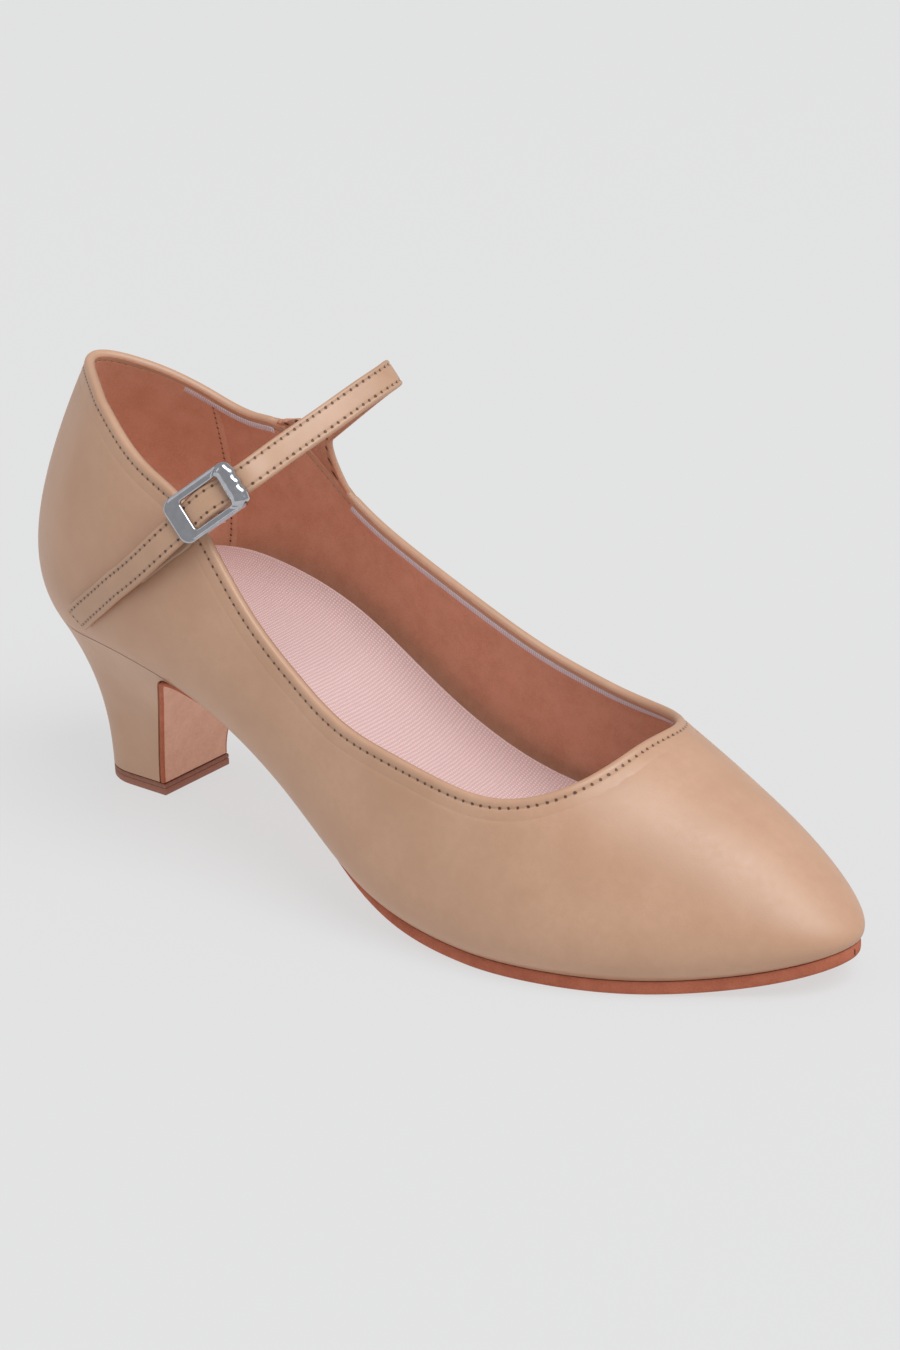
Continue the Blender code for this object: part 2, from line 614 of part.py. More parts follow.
def strap_sheet():
    """Middle face of the strap as a grid of points: along it, and across it from its rear to its front edge."""
    rows = strap_centre_line()
    centres = np.array([row[0] for row in rows])
    widths = unit(np.array([row[1] for row in rows]))
    reach = np.concatenate([[0.0], np.cumsum(np.linalg.norm(np.diff(centres, axis=0), axis=1))])
    at = np.linspace(0.0, reach[-1], STRAP_STATIONS)
    line = np.stack([spline(reach, centres[:, k])(at) for k in range(3)], axis=1)
    width = np.stack([np.interp(at, reach, widths[:, k]) for k in range(3)], axis=1)
    along = unit(np.gradient(line, axis=0))
    width = unit(width - (width * along).sum(axis=1, keepdims=True) * along)
    across = np.linspace(-0.5, 0.5, STRAP_ACROSS) * STRAP_WIDTH
    slant = TAIL_SLANT * (1.0 - smooth_step(at, 0.0, 2.0 * STRAP_WIDTH))
    lean = width + slant[:, None] * along
    grid = line[:, None, :] + across[None, :, None] * lean[:, None, :]
    edges, leaves = strap_base()
    start = grid[-1]
    pull = 0.7 * np.linalg.norm(edges.mean(axis=0) - start.mean(axis=0))
    blend = []
    for t in np.linspace(0.0, 1.0, STRAP_BLEND)[1:]:
        weights = (2 * t ** 3 - 3 * t ** 2 + 1, t ** 3 - 2 * t ** 2 + t, -2 * t ** 3 + 3 * t ** 2, t ** 3 - t ** 2)
        blend.append(weights[0] * start + weights[1] * pull * along[-1] + weights[2] * edges
                     - weights[3] * pull * leaves)
    return np.concatenate([grid, np.array(blend)])


def make_strap(material):
    """The strap's middle face, thickened both ways."""
    grid = strap_sheet()
    ahead = np.gradient(grid, axis=0)
    aside = np.gradient(grid, axis=1)
    normal = unit(np.cross(ahead, aside))
    low = (grid - 0.5 * STRAP_THICKNESS * normal).reshape(-1, 3)
    high = (grid + 0.5 * STRAP_THICKNESS * normal).reshape(-1, 3)
    faces = slab_faces(grid.shape[0], grid.shape[1])
    return finish_object("strap", np.vstack([low, high]), faces, material)


def rounded_rectangle(start, end, half, radius, steps):
    """Outline from start to end along the strap and half to each side, with round corners."""
    ring = []
    corners = ((end - radius, half - radius), (start + radius, half - radius),
               (start + radius, radius - half), (end - radius, radius - half))
    for quarter, (u, v) in enumerate(corners):
        for turn in np.linspace(0.0, 0.5 * math.pi, steps):
            angle = quarter * 0.5 * math.pi + turn
            ring.append((u + radius * math.cos(angle), v + radius * math.sin(angle)))
    return ring


def make_buckle(material):
    """The frame: a plate with a window, plain at its lower end and domed at its upper end."""
    centre, along, across, outward = buckle_frame()
    half_length = 0.5 * BUCKLE_LENGTH
    window_half = 0.5 * STRAP_WIDTH + BUCKLE_CLEARANCE
    half = window_half + BUCKLE_RIM
    outer = rounded_rectangle(-half_length, half_length, half, 2.2, BUCKLE_CORNER_STEPS)
    inner = rounded_rectangle(BUCKLE_PLATE - half_length, half_length - BUCKLE_LIP, window_half, 0.8,
                              BUCKLE_CORNER_STEPS)
    low = 0.5 * STRAP_THICKNESS + GAP
    points = []
    for ring, edge in ((outer, 1.0), (inner, 0.0)):
        for level in (low, low + BUCKLE_THICKNESS):
            for u, v in ring:
                lip = smooth_step(u, half_length - BUCKLE_LIP - 1.0, half_length - 0.5 * BUCKLE_LIP)
                dome = BUCKLE_DOME * lip * (1.0 - edge) if level > low else 0.0
                points.append(centre + u * along + v * across + (level + dome) * outward)
    size = len(outer)
    faces = []
    for i in range(size):
        j = (i + 1) % size
        faces.append([i, j, j + size, i + size])
        faces.append([i + 2 * size, i + 3 * size, j + 3 * size, j + 2 * size])
        faces.append([i + size, j + size, j + 3 * size, i + 3 * size])
        faces.append([i, i + 2 * size, j + 2 * size, j])
    frame = finish_object("buckle", points, faces, material)
    bar_points, bar_faces = buckle_bar()
    bar = finish_object("bar", bar_points, bar_faces, material)
    union = frame.modifiers.new("bar", "BOOLEAN")
    union.operation = "UNION"
    union.solver = "EXACT"
    union.object = bar
    bpy.context.view_layer.update()
    whole = bpy.data.meshes.new_from_object(frame.evaluated_get(bpy.context.evaluated_depsgraph_get()))
    frame.modifiers.clear()
    frame.data = whole
    bpy.data.objects.remove(bar, do_unlink=True)
    return frame


def buckle_bar():
    """Points and faces of the round bar under the strap, with both ends turned up into the frame."""
    centre, along, across, outward = buckle_frame()
    radius = 0.5 * BUCKLE_BAR
    depth = -(0.5 * STRAP_THICKNESS + 2.0 * GAP + TAB_THICKNESS + radius)
    reach = 0.5 * STRAP_WIDTH + BUCKLE_CLEARANCE + 0.5 * BUCKLE_RIM
    top = 0.5 * STRAP_THICKNESS + GAP + 0.5 * BUCKLE_THICKNESS
    bend = 1.2 * radius
    path = [(-reach, top), (-reach, depth + bend), (-reach + 0.3 * bend, depth + 0.3 * bend), (-reach + bend, depth)]
    path += [(-v, w) for v, w in path[::-1]]
    sides = BAR_SIDES
    points = []
    line = np.array(path)
    heading = unit(np.gradient(line, axis=0))
    for (v, w), (v_ahead, w_ahead) in zip(line, heading):
        for turn in np.arange(sides) * 2.0 * math.pi / sides:
            aside = radius * math.cos(turn)
            spot = centre + radius * math.sin(turn) * along
            points.append(spot + (v - aside * w_ahead) * across + (w + aside * v_ahead) * outward)
    faces = [list(range(sides)), list(range(len(points) - 1, len(points) - 1 - sides, -1))]
    for k in range(len(path) - 1):
        for i in range(sides):
            j = (i + 1) % sides
            faces.append([k * sides + i, k * sides + j, (k + 1) * sides + j, (k + 1) * sides + i])
    return points, faces


def make_anchor_tab(material):
    """A leather tab under the strap: it lies on the outer quarter, runs over the bar and turns round it."""
    centre, along, across, outward = buckle_frame()
    bar_radius = 0.5 * BUCKLE_BAR
    middle = -(0.5 * STRAP_THICKNESS + 2.0 * GAP + TAB_THICKNESS + bar_radius)
    turn_radius = bar_radius + GAP + 0.5 * TAB_THICKNESS
    line = []
    aside = []
    for share in TAB_SHARES:
        place, normal = tail_place(share, TAB_CLEARANCE + 0.5 * TAB_THICKNESS)
        line.append(place)
        aside.append(across - (across @ normal) * normal)
    for turn in np.linspace(0.5 * math.pi, -0.5 * math.pi, 9):
        lift = middle + turn_radius * math.sin(turn)
        line.append(centre + turn_radius * math.cos(turn) * along + lift * outward)
        aside.append(across)
    line = np.array(line)
    heading = unit(np.gradient(line, axis=0))
    aside = np.array(aside)
    aside = unit(aside - (aside * heading).sum(axis=1, keepdims=True) * heading)
    normal = np.cross(aside, heading)
    half = 0.5 * TAB_WIDTH * aside
    grid = np.stack([line - half, line + half], axis=1)
    low = (grid - 0.5 * TAB_THICKNESS * normal[:, None, :]).reshape(-1, 3)
    high = (grid + 0.5 * TAB_THICKNESS * normal[:, None, :]).reshape(-1, 3)
    return finish_object("anchor_tab", np.vstack([low, high]), slab_faces(len(line), 2), material)


def make_material(name, colour, roughness, metallic=0.0):
    material = bpy.data.materials.new(name)
    material.use_nodes = True
    shader = material.node_tree.nodes["Principled BSDF"]
    shader.inputs["Base Color"].default_value = (*colour, 1.0)
    shader.inputs["Roughness"].default_value = roughness
    shader.inputs["Metallic"].default_value = metallic
    return material


def clear_scene():
    for item in list(bpy.data.objects):
        bpy.data.objects.remove(item, do_unlink=True)


def centre_model():
    """Moves every mesh so that the whole shoe's box is centred over the origin."""
    corners = np.array([vertex.co[:] for item in bpy.data.objects for vertex in item.data.vertices])
    middle = 0.5 * (corners.min(axis=0) + corners.max(axis=0))
    shift = Matrix.Translation((-middle[0], -middle[1], 0.0))
    for item in bpy.data.objects:
        item.data.transform(shift)


def build():
    clear_scene()
    make_upper(make_material("tan_leather", (0.53, 0.33, 0.21), 0.42))
    make_heel(make_material("heel_leather", (0.50, 0.31, 0.20), 0.42))
    make_top_lift(make_material("lift_leather", (0.40, 0.19, 0.13), 0.65))
    make_outsole(make_material("sole_leather", (0.36, 0.15, 0.10), 0.85))
    make_strap(make_material("strap_leather", (0.52, 0.32, 0.20), 0.45))
    chrome = make_material("chrome", (0.78, 0.78, 0.80), 0.12, 1.0)
    make_buckle(chrome)
    make_anchor_tab(make_material("tab_leather", (0.42, 0.25, 0.17), 0.7))
    make_footbed("insole", 0.0, INSOLE_THICKNESS, make_material("insole_board", (0.45, 0.36, 0.28), 0.8))
    make_footbed("sock_lining", INSOLE_THICKNESS + GAP, SOCK_THICKNESS,
                 make_material("pink_cloth", (0.58, 0.38, 0.36), 0.9))
    centre_model()


build()
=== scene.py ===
import math

import bmesh
import bpy
import numpy as np
from mathutils import Matrix, Vector


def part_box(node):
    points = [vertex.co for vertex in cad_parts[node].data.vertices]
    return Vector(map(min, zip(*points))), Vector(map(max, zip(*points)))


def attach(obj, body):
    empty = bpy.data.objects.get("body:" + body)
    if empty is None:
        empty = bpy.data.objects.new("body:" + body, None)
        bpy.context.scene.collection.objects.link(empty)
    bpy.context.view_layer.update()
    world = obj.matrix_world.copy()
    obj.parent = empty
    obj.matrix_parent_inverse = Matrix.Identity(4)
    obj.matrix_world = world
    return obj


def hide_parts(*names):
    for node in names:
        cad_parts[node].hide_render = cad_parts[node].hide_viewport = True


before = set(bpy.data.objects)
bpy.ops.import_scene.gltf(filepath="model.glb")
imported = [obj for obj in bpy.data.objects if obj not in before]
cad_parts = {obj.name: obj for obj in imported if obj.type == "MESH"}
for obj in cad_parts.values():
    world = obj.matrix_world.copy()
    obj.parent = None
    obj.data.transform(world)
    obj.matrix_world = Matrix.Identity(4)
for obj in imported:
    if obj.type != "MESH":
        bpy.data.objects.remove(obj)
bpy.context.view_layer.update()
print("frame nodes:", sorted(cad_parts))

# %% [markdown]
# ## The maker's measurements
# A shoemaker starts from the last, the solid form that the leather is pulled over. Its length, ball
# width, seat rise, toe spring and ridge height drive every piece, so they come first. Sizes that only
# one piece needs wait for that piece's cell.
# %% The last in millimetres
METRE = 0.001
FEATHER_LENGTH = 230.0
BALL_WIDTH = 73.0
SEAT_RISE = 40.5
TOE_SPRING = 6.5
RIDGE_HEIGHT = 120.0
BULGE = 7.0
SWELL_HEIGHT_HEEL = 0.200
SWELL_HEIGHT_TOE = 0.068
HEEL_LEAN = 9.0
HEEL_PINCH = 0.36
HEEL_ROUND = 31.0
HEEL_ROUNDNESS = 1.9
TOE_ROUND = 74.0
TOE_ROUNDNESS = 1.75
TOE_FALL = 2.3
THROAT_LENGTH = 84.0
THROAT_REACH = 179.0
THROAT_ROUNDNESS = 2.5
print("last:", FEATHER_LENGTH, "mm long,", BALL_WIDTH, "mm at the ball, seat", SEAT_RISE, "mm up")

# %% [markdown]
# ## Walls and gaps
# The upper is a lined wall of two millimetres. Pieces that are glued together keep a hair's gap, so that
# no two faces lie in one place, where a renderer would flicker between them.
# %% Walls and gaps
WALL = 2.0
GAP = 0.3
SOLE_THICKNESS = 3.2
QUARTER_TURN = 0.5 * math.pi
print("upper", WALL, "mm, sole", SOLE_THICKNESS, "mm, gap", GAP, "mm")

# %% [markdown]
# ## Tables of sections
# A last could be sculpted, but a table of cross sections is what a last maker measures, and a change of
# one size moves it as a whole. Each row is a section from the back of the seat to the toe tip. Widths are
# shares of BALL_WIDTH, rise of SEAT_RISE, spring of TOE_SPRING, ridge of RIDGE_HEIGHT, swells of BULGE.
# %% Sections of the last
LAST_COLUMNS = (
    "share", "centre", "outer", "inner", "rise", "spring", "ridge", "outer_swell", "inner_swell", "curl",
)
LAST_ROWS = (
    (0.000, 0.036, 0.300, 0.325, 1.000, 0.00, 1.000, 0.64, 0.66, 1.35),
    (0.050, 0.022, 0.318, 0.335, 1.035, 0.00, 0.950, 0.64, 0.66, 1.35),
    (0.130, 0.002, 0.356, 0.360, 1.060, 0.00, 0.900, 0.66, 0.66, 1.38),
    (0.235, -0.005, 0.395, 0.370, 1.010, 0.00, 0.840, 0.66, 0.60, 1.50),
    (0.340, -0.015, 0.390, 0.382, 0.810, 0.00, 0.780, 0.64, 0.45, 1.75),
    (0.440, -0.027, 0.400, 0.390, 0.470, 0.00, 0.720, 0.60, 0.42, 2.00),
    (0.545, -0.042, 0.455, 0.435, 0.150, 0.00, 0.650, 0.52, 0.42, 2.15),
    (0.650, -0.033, 0.488, 0.490, 0.012, 0.00, 0.515, 0.43, 0.40, 2.25),
    (0.750, -0.022, 0.495, 0.535, 0.000, 0.00, 0.392, 0.36, 0.36, 2.20),
    (0.855, 0.004, 0.466, 0.480, 0.000, 0.05, 0.320, 0.36, 0.36, 2.20),
    (0.935, 0.030, 0.427, 0.395, 0.000, 0.38, 0.255, 0.36, 0.32, 2.20),
    (1.000, 0.028, 0.425, 0.345, 0.000, 1.00, 0.130, 0.32, 0.30, 2.15),
)
print("sections of the last:", len(LAST_ROWS))

# %% [markdown]
# ## Table of the open edge
# The collar and throat are where the leather stops short of the ridge. Each row gives, for the outer and
# the inner side, how far short it stops as a share of a quarter turn, from the heel's back to the throat.
# %% Edge of the collar and throat
TOPLINE_COLUMNS = ("share", "outer", "inner")
TOPLINE_ROWS = (
    (0.00, 0.645, 0.645),
    (0.09, 0.638, 0.668),
    (0.16, 0.641, 0.698),
    (0.24, 0.658, 0.716),
    (0.32, 0.670, 0.704),
    (0.40, 0.678, 0.750),
    (0.45, 0.710, 0.757),
    (0.50, 0.738, 0.740),
    (0.58, 0.744, 0.697),
    (0.66, 0.734, 0.669),
    (0.74, 0.714, 0.661),
    (0.82, 0.718, 0.664),
    (0.90, 0.755, 0.690),
    (1.00, 0.800, 0.700),
)
print("sections of the open edge:", len(TOPLINE_ROWS))

# %% [markdown]
# ## Curves through the tables
# Straight lines between the sections would show as kinks in the leather, so a natural cubic curve, which
# bends like a draughtsman's thin batten, runs through each column. It is solved once for its knots.
# %% A natural cubic curve


def spline(knots, values):
    """A natural cubic curve through the knots, as a function of an array."""
    x = np.asarray(knots, float)
    y = np.asarray(values, float)
    step = np.diff(x)
    slope = np.diff(y) / step
    count = len(x)
    matrix = np.eye(count)
    inner = np.arange(1, count - 1)
    matrix[inner, inner - 1] = step[:-1]
    matrix[inner, inner] = 2.0 * (step[:-1] + step[1:])
    matrix[inner, inner + 1] = step[1:]
    right = np.zeros(count)
    right[inner] = 6.0 * np.diff(slope)
    bend = np.linalg.solve(matrix, right)

    def curve(at):
        """The line between a place's two knots, bent by the cubes of its distances from them."""
        at = np.asarray(at, float)
        i = np.clip(np.searchsorted(x, at, side="right") - 1, 0, len(step) - 1)
        left = at - x[i]
        rest = x[i + 1] - at
        cubic = (bend[i] * rest ** 3 + bend[i + 1] * left ** 3) / (6.0 * step[i])
        line = (y[i] / step[i] - bend[i] * step[i] / 6.0) * rest
        return cubic + line + (y[i + 1] / step[i] - bend[i + 1] * step[i] / 6.0) * left

    return curve


print("half way between 0, 1 and 4:", float(spline([0.0, 1.0, 2.0], [0.0, 1.0, 4.0])(0.5)))

# %% [markdown]
# ## One curve for each column
# The first column of a table says where a section lies along its length, and every other column becomes a
# function that can be asked at any place along the shoe, for a whole array of places at once.
# %% Curves of the last and of the open edge


def column_curves(names, rows, length):
    """One curve for each column of a table whose first column is a share of the length."""
    knots = [row[0] * length for row in rows]
    return {name: spline(knots, [row[i] for row in rows]) for i, name in enumerate(names) if i}


LAST = column_curves(LAST_COLUMNS, LAST_ROWS, FEATHER_LENGTH)
TOPLINE = column_curves(TOPLINE_COLUMNS, TOPLINE_ROWS, THROAT_REACH)
print("curves of the last:", sorted(LAST))

# %% [markdown]
# ## Soft steps, unit vectors and lengths along a line
# One form blends into another over a stretch, never at a line, so most blends in this file are soft
# steps. Directions are kept at length one, and a line is measured by adding up its pieces.
# %% Small helpers


def smooth_step(x, start, end):
    """0 before start, 1 after end, with a soft rise between."""
    t = np.clip((x - start) / (end - start), 0.0, 1.0)
    return t * t * (3.0 - 2.0 * t)


def unit(vector):
    """The vector, or each vector of an array, divided by its length."""
    vector = np.asarray(vector, float)
    return vector / np.maximum(np.linalg.norm(vector, axis=-1, keepdims=True), 1e-12)


def running_length(points):
    """Length along a line of points, from 0 at its first point."""
    return np.concatenate([[0.0], np.cumsum(np.linalg.norm(np.diff(points, axis=0), axis=1))])


print("soft step at a quarter:", float(smooth_step(0.25, 0.0, 1.0)))

# %% [markdown]
# ## The outer face of the upper
# The leather is pulled over the last, so its outer face is a function of two parameters: the way round
# the shoe and the angle up the section. First comes the lower edge: its half width is a smooth plan that
# two ellipse-like curves close at the back and at the toe.
# %% Plan of the lower edge


def heel_share(x):
    """1 at the back of the seat, 0 where its rounded back ends."""
    return np.clip((HEEL_ROUND - x) / HEEL_ROUND, 0.0, 1.0)


def toe_share(x):
    """0 where the toe's rounded front begins, 1 at its tip."""
    return np.clip((x - FEATHER_LENGTH + TOE_ROUND) / TOE_ROUND, 0.0, 1.0)


def full_width(x, side):
    """Half width of the last on each side before its ends are rounded."""
    outer = LAST["outer"](x)
    return BALL_WIDTH * (outer + 0.5 * (1.0 + side) * (LAST["inner"](x) - outer))


def half_width(x, side):
    """Half width of the lower edge's outline: an ellipse-like back and toe on a smooth plan."""
    heel = (1.0 - heel_share(x) ** HEEL_ROUNDNESS) ** (1.0 / HEEL_ROUNDNESS)
    toe = np.sqrt(np.maximum(1.0 - toe_share(x) ** TOE_ROUNDNESS, 0.0))
    return full_width(x, side) * heel * toe


def centre_line(x):
    """y of the last's middle, a share of the ball width that swings inward at the toe."""
    return BALL_WIDTH * LAST["centre"](x)


def base_height(x):
    """Height of the upper's lower edge over the floor."""
    return SOLE_THICKNESS + GAP + SEAT_RISE * LAST["rise"](x) + TOE_SPRING * LAST["spring"](x)


def ridge_height(x):
    """Height of the last's ridge over the lower edge, which comes down to it at the toe tip."""
    return RIDGE_HEIGHT * LAST["ridge"](x) * np.sqrt(np.maximum(1.0 - toe_share(x) ** TOE_FALL, 0.0))


seat_width = half_width(HEEL_ROUND, -1.0) + half_width(HEEL_ROUND, 1.0)
print("width of the seat:", round(float(seat_width), 1), "mm")

# %% [markdown]
# ## The wall over the last
# Up each section the height is a sine and the inset a power of a cosine, which is rounder or squarer by
# its curl. A swell is added above the lower edge, where a foot is widest, and the leather over the heel
# leans forward and is pinched towards the ankle.
# %% The wall's points
SWELL_ON_HEEL = 0.9
SWELL_ON_TOE = 1.5


def wall_point(x, side, angle):
    """Outer face: the ridge's height times the angle's sine, in by a power of its cosine, plus a swell."""
    x, side, angle = np.broadcast_arrays(*(np.asarray(value, float) for value in (x, side, angle)))
    inward = 1.0 - np.maximum(np.cos(angle), 0.0) ** (2.0 / LAST["curl"](x))
    height = ridge_height(x) * np.sin(angle)
    middle_x = np.maximum(x, HEEL_ROUND)
    middle_y = centre_line(middle_x)
    edge_y = centre_line(x) + side * half_width(x, side)
    swell_height = RIDGE_HEIGHT * (SWELL_HEIGHT_HEEL + (SWELL_HEIGHT_TOE - SWELL_HEIGHT_HEEL)
                                   * smooth_step(x, 0.1 * FEATHER_LENGTH, 0.7 * FEATHER_LENGTH))
    even = np.sqrt(1.0 - heel_share(x) ** 2) * np.cos(angle) ** 2
    outer_swell = LAST["outer_swell"](x)
    swell = outer_swell + 0.5 * (1.0 + side * even) * (LAST["inner_swell"](x) - outer_swell)
    share = height / swell_height
    swell = BULGE * swell * share * np.exp(1.0 - share)
    back = heel_share(x) ** SWELL_ON_HEEL
    front = toe_share(x) ** SWELL_ON_TOE
    out_x = np.where(x < HEEL_ROUND, -back, front)
    out_y = np.sqrt(1.0 - np.where(x < HEEL_ROUND, back, front) ** 2)
    ankle = (height / (0.5 * RIDGE_HEIGHT)) ** 2 * (1.0 - smooth_step(x, 0.0, 0.3 * FEATHER_LENGTH))
    place_x = x + (middle_x - x) * inward + swell * out_x + HEEL_LEAN * ankle
    place_y = edge_y + (middle_y - edge_y) * inward + side * swell * out_y * (1.0 - inward)
    place_y = middle_y + (place_y - middle_y) * (1.0 - HEEL_PINCH * ankle)
    return np.stack([place_x, place_y, base_height(x) + height], axis=-1)


print("toe tip at:", np.round(wall_point(FEATHER_LENGTH, -1.0, 0.0), 1))

# %% [markdown]
# ## The way round and the open edge
# Places along the shoe crowd together at its round back, so the way round is a turn about the back of the
# seat and then a length along each side, negative on the outer side and positive on the inner one. The
# angle where the leather stops comes from the table, and closes over the ridge ahead of the throat.
# %% Ways round and the top of each section


def top_angle(x, side):
    """How far up its section each side reaches: it closes over the ridge ahead of the throat."""
    outer = TOPLINE["outer"](np.minimum(x, THROAT_REACH))
    short = outer + 0.5 * (1.0 + side) * (TOPLINE["inner"](np.minimum(x, THROAT_REACH)) - outer)
    way = np.clip((x - THROAT_REACH + THROAT_LENGTH) / THROAT_LENGTH, 0.0, 1.0)
    return QUARTER_TURN * (1.0 - short * (1.0 - way ** THROAT_ROUNDNESS) ** (1.0 / THROAT_ROUNDNESS))


def way_of(x):
    """Way round the shoe of a place along it: a turn round the back, then its length over HEEL_ROUND."""
    turn = np.arccos(np.clip(1.0 - x / HEEL_ROUND, 0.0, 1.0))
    return turn + np.maximum(x - HEEL_ROUND, 0.0) / HEEL_ROUND


def place_of(way):
    """The place along the shoe of a way round it."""
    way = np.abs(way)
    return HEEL_ROUND * (1.0 - np.cos(np.minimum(way, QUARTER_TURN)) + np.maximum(way - QUARTER_TURN, 0.0))


print("way round to the toe tip:", round(float(way_of(FEATHER_LENGTH)), 3))

# %% [markdown]
# ## The leather's outer face and its frame
# Every seam, fold and lining lies on this face or a little way off it, so its outward normal is needed
# too. It is the cross product of the two partial derivatives, taken as small differences.
# %% Outer face and normal
WAY_STEP = 0.002
ANGLE_STEP = 0.003


def leather(way, angle):
    """The outer face as a function of the signed way round and the angle."""
    return wall_point(np.minimum(place_of(way), FEATHER_LENGTH), np.where(way < 0.0, -1.0, 1.0), angle)


def leather_frame(way, angle):
    """Outward normal of the outer face, with its two partial derivatives."""
    by_way = (leather(way + WAY_STEP, angle) - leather(way - WAY_STEP, angle)) / (2.0 * WAY_STEP)
    by_angle = (leather(way, angle) - leather(way, angle - ANGLE_STEP)) / ANGLE_STEP
    return unit(np.cross(by_angle, by_way)), by_way, by_angle


print("outward at the back:", np.round(leather_frame(0.0, 0.3)[0], 2))

# %% [markdown]
# ## From the maker's origin to the frame's
# The maker measures from the back of the seat, and the frame from the middle of the whole shoe. The top
# lift's box in the frame ties the two together, because its own place on the last is known.
# %% Origin
BREAST_BOTTOM = 36.6
HEEL_BASE_LENGTH = 22.0
HEEL_BASE_CENTRE = 1.0
lift_low, lift_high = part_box("top_lift")
SHIFT = np.array([BREAST_BOTTOM - HEEL_BASE_LENGTH - lift_low[0] / METRE,
                  HEEL_BASE_CENTRE - 0.5 * (lift_low[1] + lift_high[1]) / METRE, 0.0])
print("maker's origin to the frame's, in mm:", np.round(SHIFT, 3))

# %% [markdown]
# ## Making a piece
# A piece is a grid of points, because every sheet, strip and tube of the shoe has two directions. The
# faces are the grid's squares. A tube joins its last column to its first and gets a cap at each end.
# %% Faces of a grid and of a tube


def grid_faces(rows, columns, close=False):
    """Quads between neighbouring points of a grid; close joins its last column to its first."""
    number = np.arange(rows * columns).reshape(rows, columns)
    if close:
        number = np.concatenate([number, number[:, :1]], axis=1)
    corners = [number[:-1, :-1], number[1:, :-1], number[1:, 1:], number[:-1, 1:]]
    return np.stack(corners, axis=-1).reshape(-1, 4)


def tube_faces(rows, columns):
    """Faces of a tube whose columns run round it, with both ends closed by a strip of quads."""
    faces = grid_faces(rows, columns, close=True).tolist()
    half = columns // 2
    for row in (0, rows - 1):
        first = row * columns
        for i in range(half):
            j = columns - 1 - i
            if i + 1 < j - 1:
                faces.append([first + i, first + i + 1, first + j - 1, first + j])
    return faces


print("faces of a tube of 3 by 4:", len(tube_faces(3, 4)))

# %% [markdown]
# ## From points to a piece
# Points that fall together are welded, faces turn outward and rounded parts are shaded smooth. A UV map
# holds the way along and across the piece in millimetres, so that seams and ribs follow the surface.
# %% A mesh object from points
WELD = 1e-6
SLIVER = 1e-7


def make_piece(name, points, faces, materials, uv=None, slots=None, sharp=40.0):
    """A welded mesh object from points in millimetres, with material slots and a UV map in millimetres."""
    mesh = bpy.data.meshes.new(name)
    places = (np.asarray(points, float).reshape(-1, 3) - SHIFT) * METRE
    mesh.from_pydata(places.tolist(), [], np.asarray(faces).tolist())
    for material in materials:
        mesh.materials.append(material)
    if slots is not None:
        mesh.polygons.foreach_set("material_index", np.asarray(slots, np.int32))
    if uv is not None:
        corners = np.zeros(len(mesh.loops), np.int32)
        mesh.loops.foreach_get("vertex_index", corners)
        layer = mesh.uv_layers.new(name="millimetres")
        layer.data.foreach_set("uv", np.asarray(uv, np.float32).reshape(-1, 2)[corners].ravel())
    form = bmesh.new()
    form.from_mesh(mesh)
    bmesh.ops.remove_doubles(form, verts=form.verts, dist=WELD)
    bmesh.ops.dissolve_degenerate(form, edges=form.edges, dist=SLIVER)
    bmesh.ops.recalc_face_normals(form, faces=form.faces)
    form.to_mesh(mesh)
    form.free()
    mesh.shade_smooth()
    mesh.set_sharp_from_angle(angle=math.radians(sharp))
    piece = bpy.data.objects.new(name, mesh)
    bpy.context.scene.collection.objects.link(piece)
    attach(piece, "root")
    print(name, len(mesh.polygons), "faces")
    return piece


print("a weld joins points closer than", WELD / METRE, "mm")

# %% [markdown]
# ## Shader tools
# A finish is a network of nodes. Written out one by one they are hard to read, so a few short functions
# add a node, link or set a socket, and name the sums, soft steps and blends that finishes are made of.
# %% Nodes, sums and blends


def add_node(tree, kind, **settings):
    """A new node of a kind, with its settings."""
    made = tree.nodes.new(kind)
    for key, value in settings.items():
        setattr(made, key, value)
    return made


def feed(tree, socket, value):
    """Links a socket to another, or sets its constant."""
    if isinstance(value, bpy.types.NodeSocket):
        tree.links.new(value, socket)
    else:
        socket.default_value = value


def maths(tree, operation, *values):
    """One sum of sockets or numbers."""
    step = add_node(tree, "ShaderNodeMath", operation=operation)
    for socket, value in zip(step.inputs, values):
        feed(tree, socket, value)
    return step.outputs[0]


def soft_range(tree, value, low, high, start=0.0, end=1.0):
    """Soft step of a value between low and high, from start to end."""
    step = add_node(tree, "ShaderNodeMapRange", interpolation_type="SMOOTHSTEP")
    for label, number in (("Value", value), ("From Min", low), ("From Max", high), ("To Min", start),
                          ("To Max", end)):
        feed(tree, step.inputs[label], number)
    return step.outputs[0]


def blend_colours(tree, factor, first, second):
    """The first colour where the factor is 0, the second where it is 1."""
    step = add_node(tree, "ShaderNodeMix", data_type="RGBA")
    feed(tree, step.inputs[0], factor)
    for socket, colour in ((step.inputs[6], first), (step.inputs[7], second)):
        feed(tree, socket, colour if isinstance(colour, bpy.types.NodeSocket) else (*colour, 1.0))
    return step.outputs[2]


print("node tools ready in Blender", bpy.app.version_string)

# %% [markdown]
# ## Groups
# An effect that several finishes share is one node group with named inputs and outputs. It is built once
# and puts out only heights and masks, so each finish keeps its own colours.
# %% A group and its use


def new_group(name, inputs, outputs):
    """An empty node group with named float inputs and outputs."""
    tree = bpy.data.node_groups.new(name, "ShaderNodeTree")
    for label, value in inputs:
        tree.interface.new_socket(label, in_out="INPUT", socket_type="NodeSocketFloat").default_value = value
    for label in outputs:
        tree.interface.new_socket(label, in_out="OUTPUT", socket_type="NodeSocketFloat")
    return tree, add_node(tree, "NodeGroupInput"), add_node(tree, "NodeGroupOutput")


